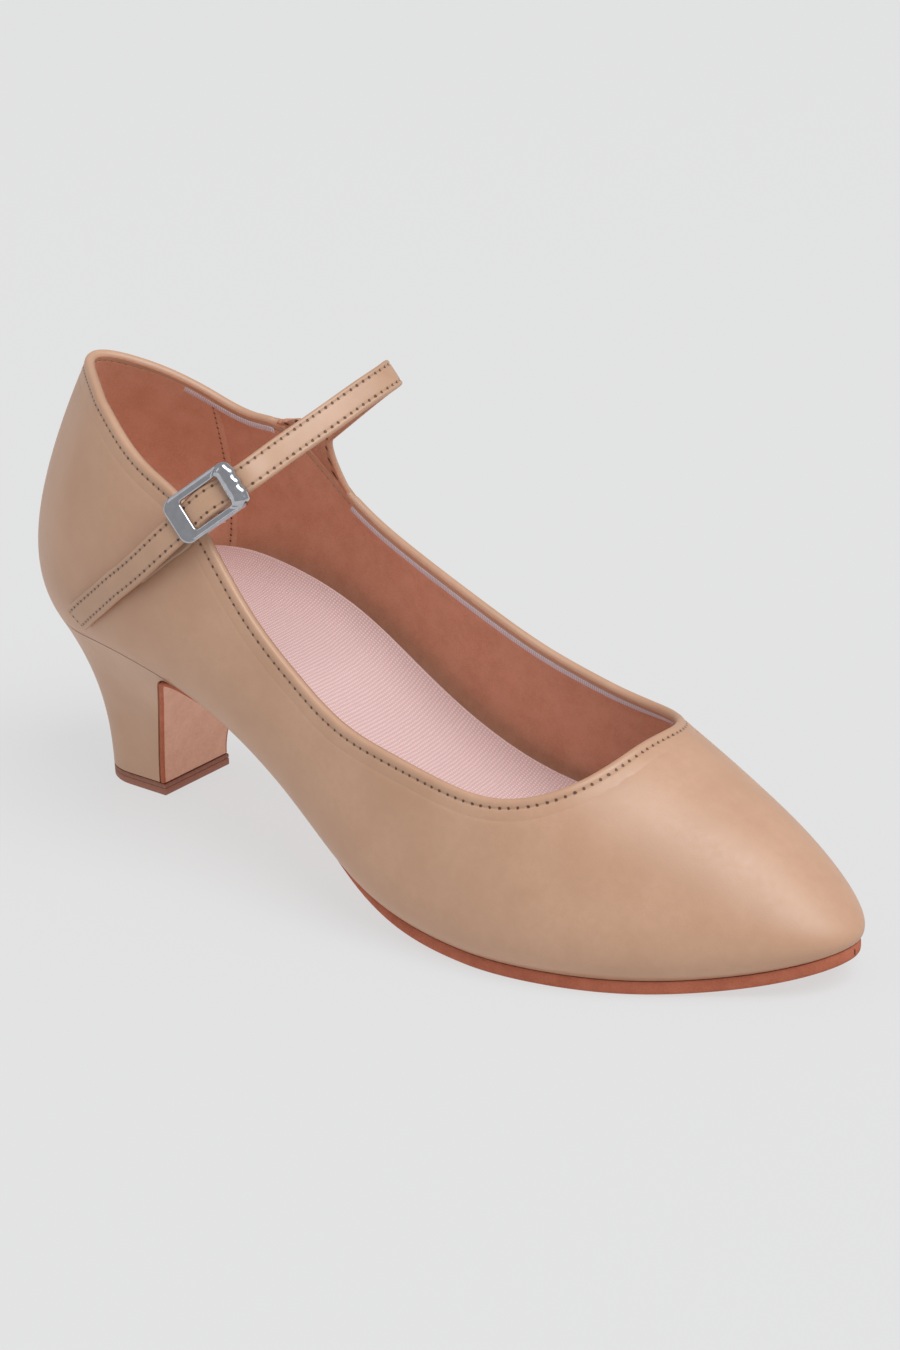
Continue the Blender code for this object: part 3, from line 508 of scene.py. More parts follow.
def use_group(tree, group, **inputs):
    """The outputs of a group placed in a tree, with its inputs linked or set by name."""
    made = add_node(tree, "ShaderNodeGroup", node_tree=group)
    for label, value in inputs.items():
        feed(tree, made.inputs[label.replace("_", " ")], value)
    return made.outputs


print("groups so far:", len(bpy.data.node_groups))

# %% [markdown]
# ## Noise and places in millimetres
# Grain and nap have real sizes, so patterns are measured in millimetres: over the whole object for grain,
# which a hide has everywhere, and along the piece's own UV map for stitches, which follow an edge.
# %% Noise and coordinates


def noise(tree, vector, scale, detail=3.0, roughness=0.5):
    """Soft noise with a number of waves for each millimetre."""
    step = add_node(tree, "ShaderNodeTexNoise")
    tree.links.new(vector, step.inputs["Vector"])
    step.inputs["Scale"].default_value = scale
    step.inputs["Detail"].default_value = detail
    step.inputs["Roughness"].default_value = roughness
    return step.outputs["Fac"]


def in_millimetres(tree):
    """Object coordinates in millimetres."""
    coordinate = add_node(tree, "ShaderNodeTexCoord")
    scale = add_node(tree, "ShaderNodeVectorMath", operation="SCALE")
    tree.links.new(coordinate.outputs["Object"], scale.inputs[0])
    scale.inputs["Scale"].default_value = 1.0 / METRE
    return scale.outputs[0]


def millimetre_uv(tree):
    """Ways along and across a piece from its UV map."""
    uv = add_node(tree, "ShaderNodeUVMap", uv_map="millimetres")
    split = add_node(tree, "ShaderNodeSeparateXYZ")
    tree.links.new(uv.outputs["UV"], split.inputs[0])
    return split.outputs["X"], split.outputs["Y"]


print("patterns are measured in units of", METRE, "m")

# %% [markdown]
# ## A finish and its relief
# Each material has one Principled shader. Its relief is a Bump node on a height, which is enough for
# grain and thread: they are a few hundredths of a millimetre deep.
# %% A material and its bump


def new_finish(name, roughness, metallic=0.0):
    """A material with its Principled shader, ready for colour and bump."""
    material = bpy.data.materials.new(name)
    material.use_nodes = True
    shader = material.node_tree.nodes["Principled BSDF"]
    shader.inputs["Roughness"].default_value = roughness
    shader.inputs["Metallic"].default_value = metallic
    return material, material.node_tree, shader


def add_bump(tree, shader, height, strength, distance):
    """Relief from a height, its depth given in metres."""
    bump = add_node(tree, "ShaderNodeBump")
    bump.inputs["Strength"].default_value = strength
    bump.inputs["Distance"].default_value = distance
    tree.links.new(height, bump.inputs["Height"])
    tree.links.new(bump.outputs["Normal"], shader.inputs["Normal"])


print("materials before the first finish:", len(bpy.data.materials))

# %% [markdown]
# ## Grain of the smooth leather
# Finished calf has pores less than half a millimetre apart, soft folds a few millimetres long between
# them and slow cloudy changes of tone over a few centimetres. Cells make the pores and noise the rest.
# %% Leather grain group
grain_tree, grain_in, grain_out = new_group(
    "leather_grain", [("Pore size", 0.42)], ["Height", "Tone", "Cloud"])
place = in_millimetres(grain_tree)
pores = add_node(grain_tree, "ShaderNodeTexVoronoi", feature="F1")
grain_tree.links.new(place, pores.inputs["Vector"])
grain_tree.links.new(maths(grain_tree, "DIVIDE", 1.0, grain_in.outputs["Pore size"]), pores.inputs["Scale"])
folds = noise(grain_tree, place, 0.55, 4.0, 0.6)
fine = noise(grain_tree, place, 3.2, 2.0)
deep_folds = maths(grain_tree, "MULTIPLY", folds, 0.9)
height = maths(grain_tree, "MULTIPLY_ADD", pores.outputs["Distance"], 0.55, deep_folds)
grain_tree.links.new(height, grain_out.inputs["Height"])
tone = maths(grain_tree, "MULTIPLY_ADD", fine, 0.4, maths(grain_tree, "MULTIPLY", folds, 0.6))
grain_tree.links.new(tone, grain_out.inputs["Tone"])
grain_tree.links.new(noise(grain_tree, place, 0.045, 3.0, 0.55), grain_out.inputs["Cloud"])
print("leather grain:", len(grain_tree.nodes), "nodes")

# %% [markdown]
# ## Nap of the suede and the split leather
# The raised fibres lie in small tufts and in patches where a hand has brushed them one way or the other.
# Real fibres would cost millions of faces, so noise in two sizes stands for them.
# %% Suede nap group
nap_tree, nap_in, nap_out = new_group("suede_nap", [("Tuft size", 0.6)], ["Height", "Tone", "Patch"])
place = in_millimetres(nap_tree)
finer = add_node(nap_tree, "ShaderNodeVectorMath", operation="SCALE")
nap_tree.links.new(place, finer.inputs[0])
nap_tree.links.new(maths(nap_tree, "DIVIDE", 1.0, nap_in.outputs["Tuft size"]), finer.inputs["Scale"])
tufts = noise(nap_tree, finer.outputs[0], 1.0, 6.0, 0.7)
nap_tree.links.new(tufts, nap_out.inputs["Height"])
nap_tree.links.new(soft_range(nap_tree, tufts, 0.3, 0.7), nap_out.inputs["Tone"])
nap_tree.links.new(noise(nap_tree, place, 0.16, 5.0, 0.65), nap_out.inputs["Patch"])
print("suede nap:", len(nap_tree.nodes), "nodes")

# %% [markdown]
# ## A row of stitches
# The needle leaves a dark hole at every pitch and the thread dips into it. Modelled stitches would be
# hundreds of tiny pieces, so a mask for the holes and one for the thread are worked out from the ways
# along and across the seam in millimetres.
# %% Stitch group
stitch_tree, stitch_in, stitch_out = new_group(
    "stitch_row", [("Along", 0.0), ("Across", 0.0), ("Pitch", 2.0), ("Hole", 0.33)], ["Hole", "Thread"])
turns = maths(stitch_tree, "DIVIDE", stitch_in.outputs["Along"], stitch_in.outputs["Pitch"])
aside = maths(stitch_tree, "SUBTRACT", maths(stitch_tree, "FRACT", turns), 0.5)
aside = maths(stitch_tree, "MULTIPLY", aside, stitch_in.outputs["Pitch"])
across = stitch_in.outputs["Across"]
away = maths(stitch_tree, "SQRT", maths(stitch_tree, "ADD", maths(stitch_tree, "MULTIPLY", aside, aside),
                                        maths(stitch_tree, "MULTIPLY", across, across)))
hole = soft_range(stitch_tree, away, maths(stitch_tree, "MULTIPLY", stitch_in.outputs["Hole"], 0.55),
                  maths(stitch_tree, "MULTIPLY", stitch_in.outputs["Hole"], 1.35), 1.0, 0.0)
across_size = maths(stitch_tree, "ABSOLUTE", across)
lane = soft_range(stitch_tree, across_size, 0.12, 0.34, 1.0, 0.0)
thread = maths(stitch_tree, "MULTIPLY", lane, maths(stitch_tree, "SUBTRACT", 1.0, hole))
stitch_tree.links.new(hole, stitch_out.inputs["Hole"])
stitch_tree.links.new(thread, stitch_out.inputs["Thread"])
print("stitch row:", len(stitch_tree.nodes), "nodes")

# %% [markdown]
# ## Sewing a finish
# A seam is laid over a finish's colour and height: a row along the piece, and on the strap also one across
# its tail. A little drift along the row keeps the holes from looking machine-perfect.
# %% Sewing
HOLE_COLOUR = (0.095, 0.038, 0.020)
THREAD_COLOUR = (0.30, 0.17, 0.10)


def sew(tree, colour, height, row, pitch, both_sides=False, tail=None):
    """Stitches at a distance across the UV map, and across the strap's tail, over a colour and a height."""
    along, signed = millimetre_uv(tree)
    across = maths(tree, "ABSOLUTE", signed) if both_sides else signed
    wander = noise(tree, in_millimetres(tree), 0.35, 1.0)
    drift = maths(tree, "MULTIPLY", maths(tree, "SUBTRACT", wander, 0.5), 0.9)
    seam = use_group(tree, stitch_tree, Along=maths(tree, "ADD", along, drift),
                     Across=maths(tree, "SUBTRACT", across, row), Pitch=pitch)
    hole, thread = seam["Hole"], seam["Thread"]
    if tail is not None:
        body = soft_range(tree, along, tail - 0.3, tail)
        end = use_group(tree, stitch_tree, Along=signed, Across=maths(tree, "SUBTRACT", along, tail),
                        Pitch=row * 2.0 / 3.0)
        inside = soft_range(tree, across, row - 0.2, row + 0.2, 1.0, 0.0)
        hole = maths(tree, "MAXIMUM", maths(tree, "MULTIPLY", hole, body),
                     maths(tree, "MULTIPLY", end["Hole"], inside))
        thread = maths(tree, "MAXIMUM", maths(tree, "MULTIPLY", thread, body),
                       maths(tree, "MULTIPLY", end["Thread"], inside))
    lift = maths(tree, "SUBTRACT", maths(tree, "MULTIPLY", thread, 0.3), hole)
    colour = blend_colours(tree, maths(tree, "MULTIPLY", thread, 0.30), colour, THREAD_COLOUR)
    colour = blend_colours(tree, hole, colour, HOLE_COLOUR)
    return colour, maths(tree, "ADD", height, lift)


print("holes are", HOLE_COLOUR, "and the thread", THREAD_COLOUR)

# %% [markdown]
# ## Smooth leather
# The upper, strap, heel and tab are dyed calf: two close tones in clouds, darker specks in the grain, a
# low shine that follows the grain, and stitches where a seam's row is given.
# %% Leather finish


def leather_finish(name, dark, light, roughness, **seam):
    """Smooth grained leather, sewn where a seam's row is given."""
    material, tree, shader = new_finish(name, roughness)
    grain = use_group(tree, grain_tree)
    colour = blend_colours(tree, soft_range(tree, grain["Cloud"], 0.3, 0.7), dark, light)
    speck = tuple(0.90 * value for value in dark)
    specks = maths(tree, "MULTIPLY", soft_range(tree, grain["Tone"], 0.62, 0.38), 0.25)
    colour = blend_colours(tree, specks, colour, speck)
    height = maths(tree, "MULTIPLY", grain["Height"], 0.10)
    if seam:
        colour, height = sew(tree, colour, height, **seam)
    shader.inputs["Specular IOR Level"].default_value = 0.7
    tree.links.new(colour, shader.inputs["Base Color"])
    tree.links.new(soft_range(tree, grain["Tone"], 0.35, 0.65, roughness - 0.05, roughness + 0.06),
                   shader.inputs["Roughness"])
    add_bump(tree, shader, height, 0.55, 0.0003)
    return material


TAN_DARK = (0.530, 0.298, 0.182)
TAN_LIGHT = (0.590, 0.345, 0.220)
tan_leather = leather_finish("tan_leather", TAN_DARK, TAN_LIGHT, 0.46)
print("smooth leather:", tan_leather.name)

# %% [markdown]
# ## Suede
# Linings, sole and flap show the flesh side of the hide, which is napped: two tones in patches, pale tips
# on the tufts, almost no shine and a faint sheen where the fibres catch the light.
# %% Suede finish


def suede_finish(name, dark, light, tuft, roughness=0.9, sheen=0.25, depth=0.0002, **seam):
    """Napped leather: two tones in patches, paler tufts, a little sheen, sewn where a row is given."""
    material, tree, shader = new_finish(name, roughness)
    shader.inputs["Specular IOR Level"].default_value = 0.2
    nap = use_group(tree, nap_tree, Tuft_size=tuft)
    colour = blend_colours(tree, soft_range(tree, nap["Patch"], 0.25, 0.75), dark, light)
    tip = tuple(min(1.0, 1.28 * value) for value in light)
    colour = blend_colours(tree, maths(tree, "MULTIPLY", nap["Tone"], 0.35), colour, tip)
    height = nap["Height"]
    if seam:
        colour, height = sew(tree, colour, height, **seam)
    tree.links.new(colour, shader.inputs["Base Color"])
    shader.inputs["Sheen Weight"].default_value = sheen
    shader.inputs["Sheen Tint"].default_value = (*light, 1.0)
    add_bump(tree, shader, height, 0.6, depth)
    return material


lining_suede = suede_finish("lining_suede", (0.640, 0.310, 0.200), (0.740, 0.395, 0.265), 0.45)
print("finishes so far:", sorted(material.name for material in bpy.data.materials))

# %% [markdown]
# ## Edge of the collar and throat
# The leather is folded over and stitched down two millimetres below the rim. A seam runs evenly only along
# a line whose places are evenly spaced, so the edge is first drawn with many places, measured, and then
# divided again at half a millimetre.
# %% The line of the edge
EDGE_SPACING = 0.5
BACK_PART = 0.2


def edge_line(spacing):
    """Ways round and angles along the closed edge, evenly spaced, from the back along the outer side."""
    fine = np.linspace(0.0, 1.0, 4001)
    back_turn = QUARTER_TURN * fine / BACK_PART
    front_turn = QUARTER_TURN * np.maximum(fine - BACK_PART, 0.0) / (1.0 - BACK_PART)
    ways = []
    angles = []
    for side in (-1.0, 1.0):
        x = np.where(fine < BACK_PART, HEEL_ROUND * (1.0 - np.cos(back_turn)),
                     HEEL_ROUND + (THROAT_REACH - HEEL_ROUND) * np.sin(front_turn))
        angle = top_angle(x, side)
        way = side * way_of(x)
        points = leather(way, angle)
        reach = running_length(points)
        at = np.linspace(0.0, reach[-1], int(round(reach[-1] / spacing)) + 1)
        way = np.interp(at, reach, way)
        angle = np.interp(at, reach, angle)
        way[0] = 0.0
        ways.append(way if side < 0 else way[-2::-1])
        angles.append(angle if side < 0 else angle[-2::-1])
    return np.concatenate(ways), np.concatenate(angles)


EDGE_WAY, EDGE_ANGLE = edge_line(EDGE_SPACING)
EDGE_POINTS = leather(EDGE_WAY, EDGE_ANGLE)
EDGE_REACH = running_length(EDGE_POINTS)
EDGE_LENGTH = EDGE_REACH[-1]
ahead = np.roll(EDGE_POINTS[:-1], -1, axis=0) - np.roll(EDGE_POINTS[:-1], 1, axis=0)
EDGE_HEADING = unit(np.concatenate([ahead, ahead[:1]]))
EDGE_NORMAL, edge_by_way, edge_by_angle = leather_frame(EDGE_WAY, EDGE_ANGLE)
EDGE_INTO = unit(np.cross(EDGE_HEADING, EDGE_NORMAL))
print("edge of collar and throat:", round(float(EDGE_LENGTH), 1), "mm")

# %% [markdown]
# ## Where the strap grows out of the edge
# The strap and the inner quarter are one cut, so there the fold dies away. A mask along the edge is 1
# under the strap's root and lets the strips along the edge shrink out of sight.
# %% The strap's root on the edge
STRAP_FLARE_BACK = 0.275
STRAP_FLARE_FRONT = 0.415
ROOT_INSIDE = 3.0
ROOT_OUTSIDE = 0.5
edge_x = place_of(EDGE_WAY)
strap_middle = 0.5 * (STRAP_FLARE_BACK + STRAP_FLARE_FRONT) * THROAT_REACH
strap_half = 0.5 * (STRAP_FLARE_FRONT - STRAP_FLARE_BACK) * THROAT_REACH
from_middle = np.abs(edge_x - strap_middle)
calm = 1.0 - smooth_step(from_middle, strap_half - ROOT_INSIDE, strap_half + ROOT_OUTSIDE)
calm = calm * (EDGE_WAY > 0.0)
print("strap's root:", round(2.0 * strap_half, 1), "mm of the edge")

# %% [markdown]
# ## Going into the leather
# The fold, its seam and the tape lie at set distances from the edge, measured over a curved face. The
# first fundamental form of the face turns such a distance into a step of the way round and the angle.
# %% A distance into the leather


def into_leather(distance):
    """Points and normals of the outer face at a distance from the edge, by its two partial derivatives."""
    a = (edge_by_way ** 2).sum(axis=1)
    b = (edge_by_way * edge_by_angle).sum(axis=1)
    c = (edge_by_angle ** 2).sum(axis=1)
    p = (edge_by_way * EDGE_INTO).sum(axis=1)
    q = (edge_by_angle * EDGE_INTO).sum(axis=1)
    span = np.maximum(a * c - b * b, 1e-9)
    way = EDGE_WAY + distance * (p * c - q * b) / span
    angle = np.minimum(EDGE_ANGLE + distance * (q * a - p * b) / span, QUARTER_TURN)
    return leather(way, angle), leather_frame(way, angle)[0]


print("three millimetres below the back:", np.round(into_leather(3.0)[0][0], 1))

# %% [markdown]
# ## A strip along the edge
# A fold and a tape are the same kind of piece: a small cross section carried along the edge. Each row of
# the section is a distance into the leather and a height over its outer face.
# %% Strips
ROOT_SHRINK = 0.35
ROOT_SINK = 0.7


def edge_strip(name, rows, materials, keep=None):
    """A closed strip: rows are pairs of the distance into the leather and the height over its outer face.

    Where the strap grows out of the quarter the strip shrinks towards the middle of the wall, out of sight.
    """
    grid = []
    for into, out in rows:
        points, normals = into_leather(max(into, 0.0))
        middle = -0.5 * WALL
        height = middle + (out - middle) * (1.0 - ROOT_SHRINK * calm)
        beside = min(into, 0.0) + ROOT_SINK * calm
        points = points + height[:, None] * normals + beside[:, None] * EDGE_INTO
        grid.append(points)
    grid = np.stack(grid, axis=1)
    uv = np.stack(np.broadcast_arrays(EDGE_REACH[:, None], np.array([row[0] for row in rows])), axis=-1)
    if keep is None:
        faces = grid_faces(*grid.shape[:2], close=True)
    else:
        grid = grid[keep]
        uv = uv[keep]
        faces = tube_faces(*grid.shape[:2])
    return make_piece(name, grid, faces, materials, uv)


print("strips follow", len(EDGE_WAY), "places of the edge")

# %% [markdown]
# ## The folded edge
# The fold is one closed strip: a bead, a groove that holds the stitches, and a return inside the shoe. Its
# rows go from the feathered end outside, over the rim, to the end inside. The stitches divide the edge
# into equal parts, so the seam closes without a short one.
# %% Fold with its seam
STITCH_LINE = 1.95
FOLD_ROWS = (
    (5.20, -0.14), (4.60, -0.03), (3.80, 0.01), (3.00, 0.03), (2.50, 0.03), (2.28, -0.02), (2.10, -0.12),
    (1.95, -0.15), (1.80, -0.08), (1.60, 0.06), (1.30, 0.17), (0.90, 0.22), (0.50, 0.18), (0.15, 0.02),
    (-0.10, -0.25), (-0.22, -0.60), (-0.24, -0.95), (-0.18, -1.35), (0.00, -1.70), (0.30, -1.96),
    (0.70, -2.08), (1.40, -2.12), (1.80, -2.10), (2.00, -1.90), (2.10, -1.20),
)
PITCH = 2.0
EDGE_PITCH = EDGE_LENGTH / round(EDGE_LENGTH / PITCH)
fold_leather = leather_finish("fold_leather", TAN_DARK, TAN_LIGHT, 0.44, row=STITCH_LINE, pitch=EDGE_PITCH)
collar_fold = edge_strip("collar_fold", FOLD_ROWS, [fold_leather])

# %% [markdown]
# ## The upper
# One sheet of leather runs from the toe tip round the heel and back. Its outline is round at the toe, at
# the heel and at the throat, so its sections crowd together there and stay apart along the sides.
# %% Places of the sections


def stations(heel, quarter, throat, toe):
    """Places along the shoe, closer together where the outline is round."""
    start = THROAT_REACH - THROAT_LENGTH
    return np.concatenate([
        HEEL_ROUND * (1.0 - np.cos(np.linspace(0.0, QUARTER_TURN, heel))),
        np.linspace(HEEL_ROUND, start, quarter)[1:],
        start + THROAT_LENGTH * np.sin(np.linspace(0.0, QUARTER_TURN, throat))[1:],
        THROAT_REACH + (FEATHER_LENGTH - THROAT_REACH) * np.sin(np.linspace(0.0, QUARTER_TURN, toe))[1:]])


half_places = stations(32, 64, 70, 56)
ways = np.concatenate([-way_of(half_places[::-1]), way_of(half_places[1:])])
places = np.abs(np.concatenate([half_places[::-1], half_places[1:]]))
sides = np.where(ways < 0.0, -1.0, 1.0)
print("sections of the upper:", len(ways))

# %% [markdown]
# ## The upper's sheet and wall
# The sheet lies a little deeper along the edge, so that the fold comes out of it and doesn't fight with
# it. Solidify then thickens it inward, which gives the lining its own face and material.
# %% Sheet, wall and lining
LINED_WALL = 1.65
SINK = 0.38
SINK_STARTS = 5.0
SINK_ENDS = 3.2
angles = top_angle(places, sides)[:, None] * np.linspace(0.0, 1.0, 37)[None, :]
sheet = wall_point(places[:, None], sides[:, None], angles)
normals = leather_frame(ways[:, None] + 0.0 * angles, np.maximum(angles, ANGLE_STEP))[0]
edge_parts = [np.linalg.norm(part[:, None] - EDGE_POINTS[None, ::2], axis=2)
              for part in np.array_split(sheet.reshape(-1, 3), 24)]
nearest = np.concatenate([part.min(axis=1) for part in edge_parts]).reshape(angles.shape)
closest = np.concatenate([part.argmin(axis=1) for part in edge_parts]).reshape(angles.shape)
sink = SINK * (1.0 - smooth_step(nearest, SINK_ENDS, SINK_STARTS)) * (1.0 - calm[::2][closest])
sheet = sheet - sink[..., None] * np.nan_to_num(normals)
upper = make_piece("upper_leather", sheet, grid_faces(*angles.shape), [tan_leather, lining_suede])
wall = upper.modifiers.new("wall", "SOLIDIFY")
wall.thickness = LINED_WALL * METRE
wall.offset = -1.0
wall.material_offset = 1
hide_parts("upper")

# %% [markdown]
# ## Lasting margin
# The leather is pulled round the last and its margin is cemented flat under the insole. At the waist the
# sole is narrower than the upper, and there the margin closes the shoe between them. Each side is a flat
# strip whose section has four corners: how far in from the edge, and how deep below it.
# %% Margin at the waist
MARGIN_CORNERS = ((9.0, 0.05), (9.0, 0.25), (0.6, 0.25), (0.6, 0.05))
MARGIN_START = 0.22
MARGIN_END = 0.64
margin_x = np.linspace(MARGIN_START * FEATHER_LENGTH, MARGIN_END * FEATHER_LENGTH, 81)
level = np.zeros(len(margin_x))
margin_faces = tube_faces(len(margin_x), len(MARGIN_CORNERS))
margin_slots = np.zeros(len(margin_faces), np.int32)
margin_slots[3:4 * (len(margin_x) - 1):4] = 1
for name, side in (("lasting_margin_outer", -1.0), ("lasting_margin_inner", 1.0)):
    margin_ways = side * way_of(margin_x)
    point = leather(margin_ways, level)
    outward = leather_frame(margin_ways, level + ANGLE_STEP)[0]
    inward = -unit(outward * np.array([1.0, 1.0, 0.0]))
    rows = []
    for reach, sunk in MARGIN_CORNERS:
        corner = point + reach * inward
        corner[:, 2] = base_height(corner[:, 0]) - sunk
        rows.append(corner)
    margin = make_piece(name, np.stack(rows, axis=1), margin_faces, [tan_leather, lining_suede],
                        slots=margin_slots)

# %% [markdown]
# ## Tape inside
# A pale cotton tape strengthens the inner side's edge below the fold and stops at the strap's root. It is
# carried along the edge as the fold is, with the fine ribs of a woven tape across it.
# %% Tape along the inside of the edge
TAPE_RIB = 0.55
tape_material, tape_tree, tape_shader = new_finish("cotton_tape", 0.85)
tape_along = millimetre_uv(tape_tree)[0]
weave = maths(tape_tree, "SINE", maths(tape_tree, "MULTIPLY", tape_along, 2.0 * math.pi / TAPE_RIB))
raised = soft_range(tape_tree, weave, -1.0, 1.0)
tape_colour = blend_colours(tape_tree, raised, (0.66, 0.60, 0.66), (0.86, 0.81, 0.85))
tape_tree.links.new(tape_colour, tape_shader.inputs["Base Color"])
add_bump(tape_tree, tape_shader, weave, 0.4, 0.0001)
TAPE_ROWS = (
    (1.6, -1.90), (1.6, -2.20), (1.8, -2.28), (2.6, -2.26), (3.1, -2.20), (3.3, -2.00), (3.3, -1.70),
    (2.4, -1.60),
)
TAPES = (("edge_tape_back", 0.13, 0.285), ("edge_tape_front", 0.415, 0.985))
for name, first, last in TAPES:
    between = (edge_x > first * THROAT_REACH) & (edge_x < last * THROAT_REACH)
    kept = np.where((EDGE_WAY > 0.0) & between)[0]
    tape = edge_strip(name, TAPE_ROWS, [tape_material], keep=kept)

# %% [markdown]
# ## Heel lining
# A second piece of suede lines the heel, where the foot rubs, and ends in a stitched seam where the arch
# begins. It is a thin closed sheet on the wall's inside, pared down to nothing at both ends.
# %% Heel lining
LINING_OUTER_END = 36.0
LINING_INNER_END = 32.0
LINING_THICKNESS = 0.50
LINING_SUNK = -0.2
LINING_SEAM = 1.6
LINING_CLEARANCE = 0.05
LINING_FOOT = 0.06
LINING_TOP = 0.970
lining_ways = np.linspace(-float(way_of(LINING_OUTER_END)), float(way_of(LINING_INNER_END)), 121)
lining_x = place_of(lining_ways)
lining_side = np.where(lining_ways < 0.0, -1.0, 1.0)
lining_top = top_angle(lining_x, lining_side)
climb = np.linspace(LINING_FOOT, LINING_TOP, 30)
descent = np.linspace(LINING_TOP, LINING_FOOT, 30)
LINING_ROWS = [(share, LINING_THICKNESS) for share in climb] + [(share, LINING_SUNK) for share in descent]
from_end = np.minimum(lining_ways - lining_ways[0], lining_ways[-1] - lining_ways) * HEEL_ROUND
rows = []
for share, depth in LINING_ROWS:
    angle = lining_top * share
    skived = depth * smooth_step(from_end, -0.1, 0.35) if depth > 0.0 else depth
    point = leather(lining_ways, angle)
    normal = leather_frame(lining_ways, np.maximum(angle, ANGLE_STEP))[0]
    rows.append(point - np.reshape(LINED_WALL + LINING_CLEARANCE + skived, (-1, 1)) * normal)
heel_suede = suede_finish("heel_suede", (0.660, 0.330, 0.210), (0.760, 0.420, 0.285), 0.45,
                          row=LINING_SEAM, pitch=PITCH)
from_front = (lining_ways[-1] - lining_ways) * HEEL_ROUND
lining_uv = np.stack(np.broadcast_arrays(np.arange(len(rows)) * 2.0, from_front[:, None]), axis=-1)
heel_lining = make_piece("heel_lining", np.stack(rows, axis=1), tube_faces(len(lining_ways), len(rows)),
                         [heel_suede], lining_uv)

# %% [markdown]
# ## Sock lining
# A pink ribbed cloth is glued to the insole board. The ribs run across the foot, eight tenths of a
# millimetre apart, and each is a row of small knots. Two waves multiplied make them, and noise frays them.
# %% Ribbed cloth
RIB = 0.80
KNOT = 0.62
cloth, cloth_tree, cloth_shader = new_finish("ribbed_cloth", 0.92)
cloth_edge = millimetre_uv(cloth_tree)[1]
place = in_millimetres(cloth_tree)
cloth_way = add_node(cloth_tree, "ShaderNodeSeparateXYZ")
cloth_tree.links.new(place, cloth_way.inputs[0])
cloth_along, cloth_across = cloth_way.outputs["X"], cloth_way.outputs["Y"]
wobble = maths(cloth_tree, "MULTIPLY", noise(cloth_tree, place, 0.35, 2.0), 0.5)
bent = maths(cloth_tree, "ADD", cloth_along, wobble)
rib = maths(cloth_tree, "SINE", maths(cloth_tree, "MULTIPLY", bent, 2.0 * math.pi / RIB))
knot = maths(cloth_tree, "SINE", maths(cloth_tree, "MULTIPLY", cloth_across, 2.0 * math.pi / KNOT))
rib_high = soft_range(cloth_tree, rib, -0.8, 0.9)
knit = maths(cloth_tree, "MULTIPLY", rib_high, soft_range(cloth_tree, knot, -1.4, 0.8))
fuzz = noise(cloth_tree, place, 2.6, 3.0, 0.6)
knit = maths(cloth_tree, "MULTIPLY_ADD", fuzz, 0.35, knit)
raised = soft_range(cloth_tree, knit, 0.1, 1.0)
cloth_colour = blend_colours(cloth_tree, raised, (0.670, 0.450, 0.430), (0.880, 0.660, 0.640))
edge_light = soft_range(cloth_tree, cloth_edge, 0.25, 0.70, 0.8, 0.0)
cloth_colour = blend_colours(cloth_tree, edge_light, cloth_colour, (0.86, 0.70, 0.68))
cloth_tree.links.new(cloth_colour, cloth_shader.inputs["Base Color"])
cloth_shader.inputs["Sheen Weight"].default_value = 0.15
add_bump(cloth_tree, cloth_shader, knit, 0.7, 0.00018)
print("ribbed cloth:", len(cloth_tree.nodes), "nodes")

# %% [markdown]
# ## The footbed
# Insole and sock share one shape: the last's lower edge drawn in, flat along the middle and cupped at the
# sides, most at the waist, where the board is moulded to the arch.
# %% Shape of the footbed
INSOLE_THICKNESS = 2.6
INSOLE_MARGIN = 1.0
TOE_MARGIN = 5.0
FOOTBED_CUP = 5.0
CUP_AT_TOE = 0.3


def footbed_edge(x, side):
    """Edge of the insole and sock: the last's lower edge moved in by the wall, the gap and a margin."""
    inset = WALL + GAP + INSOLE_MARGIN
    length = FEATHER_LENGTH - 2.0 * inset - TOE_MARGIN
    half = half_width(x, side) * (1.0 - inset / full_width(x, side))
    return np.stack([inset + x * length / FEATHER_LENGTH, centre_line(x) + side * half], axis=-1)


def footbed(places, across):
    """Points over the insole: x and y between its edges, z the seat line plus a cup up to the edges."""
    outer = footbed_edge(places, -1.0)
    inner = footbed_edge(places, 1.0)
    plan = 0.5 * (outer + inner)[:, None] + 0.5 * across[None, :, None] * (inner - outer)[:, None]
    x = plan[..., 0]
    waist = smooth_step(x, 0.0, 0.2 * FEATHER_LENGTH)
    fade = smooth_step(x, 0.5 * FEATHER_LENGTH, 0.95 * FEATHER_LENGTH)
    waist = waist * (1.0 - (1.0 - CUP_AT_TOE) * fade)
    waist = waist * np.minimum(1.0, (inner - outer)[:, 1] / (0.4 * BALL_WIDTH))[:, None]
    lift = base_height(x) + FOOTBED_CUP * waist * np.abs(across[None, :]) ** 3
    return np.concatenate([plan, lift[..., None]], axis=-1)


print("edge of the footbed at the back:", np.round(footbed_edge(0.0, -1.0), 1))

# %% [markdown]
# ## The sock's sheet
# The cloth is a closed sheet with a rounded edge: share of the half width and height for the edge's rows,
# then the flat middle, and the same rows back to the other side.
# %% The sock
SOCK_THICKNESS = 1.2
SOCK_EDGE = ((1.0, 0.0), (1.0, 0.7), (0.997, 0.95), (0.985, 1.15), (0.97, SOCK_THICKNESS))
sock_places = stations(30, 70, 50, 40)
inner_rows = np.linspace(0.94, -0.94, 49)
edge_share, edge_lift = np.array(SOCK_EDGE).T
sock_across = np.concatenate([edge_share, inner_rows, -edge_share[::-1]])
sock_lift = np.concatenate([edge_lift, np.full(len(inner_rows), SOCK_THICKNESS), edge_lift[::-1]])
sock_top = footbed(sock_places, sock_across)
low = sock_top[..., 2] + INSOLE_THICKNESS + GAP
high = sock_top.copy()
high[..., 2] = low + sock_lift
bottom = sock_top[:, ::-1].copy()
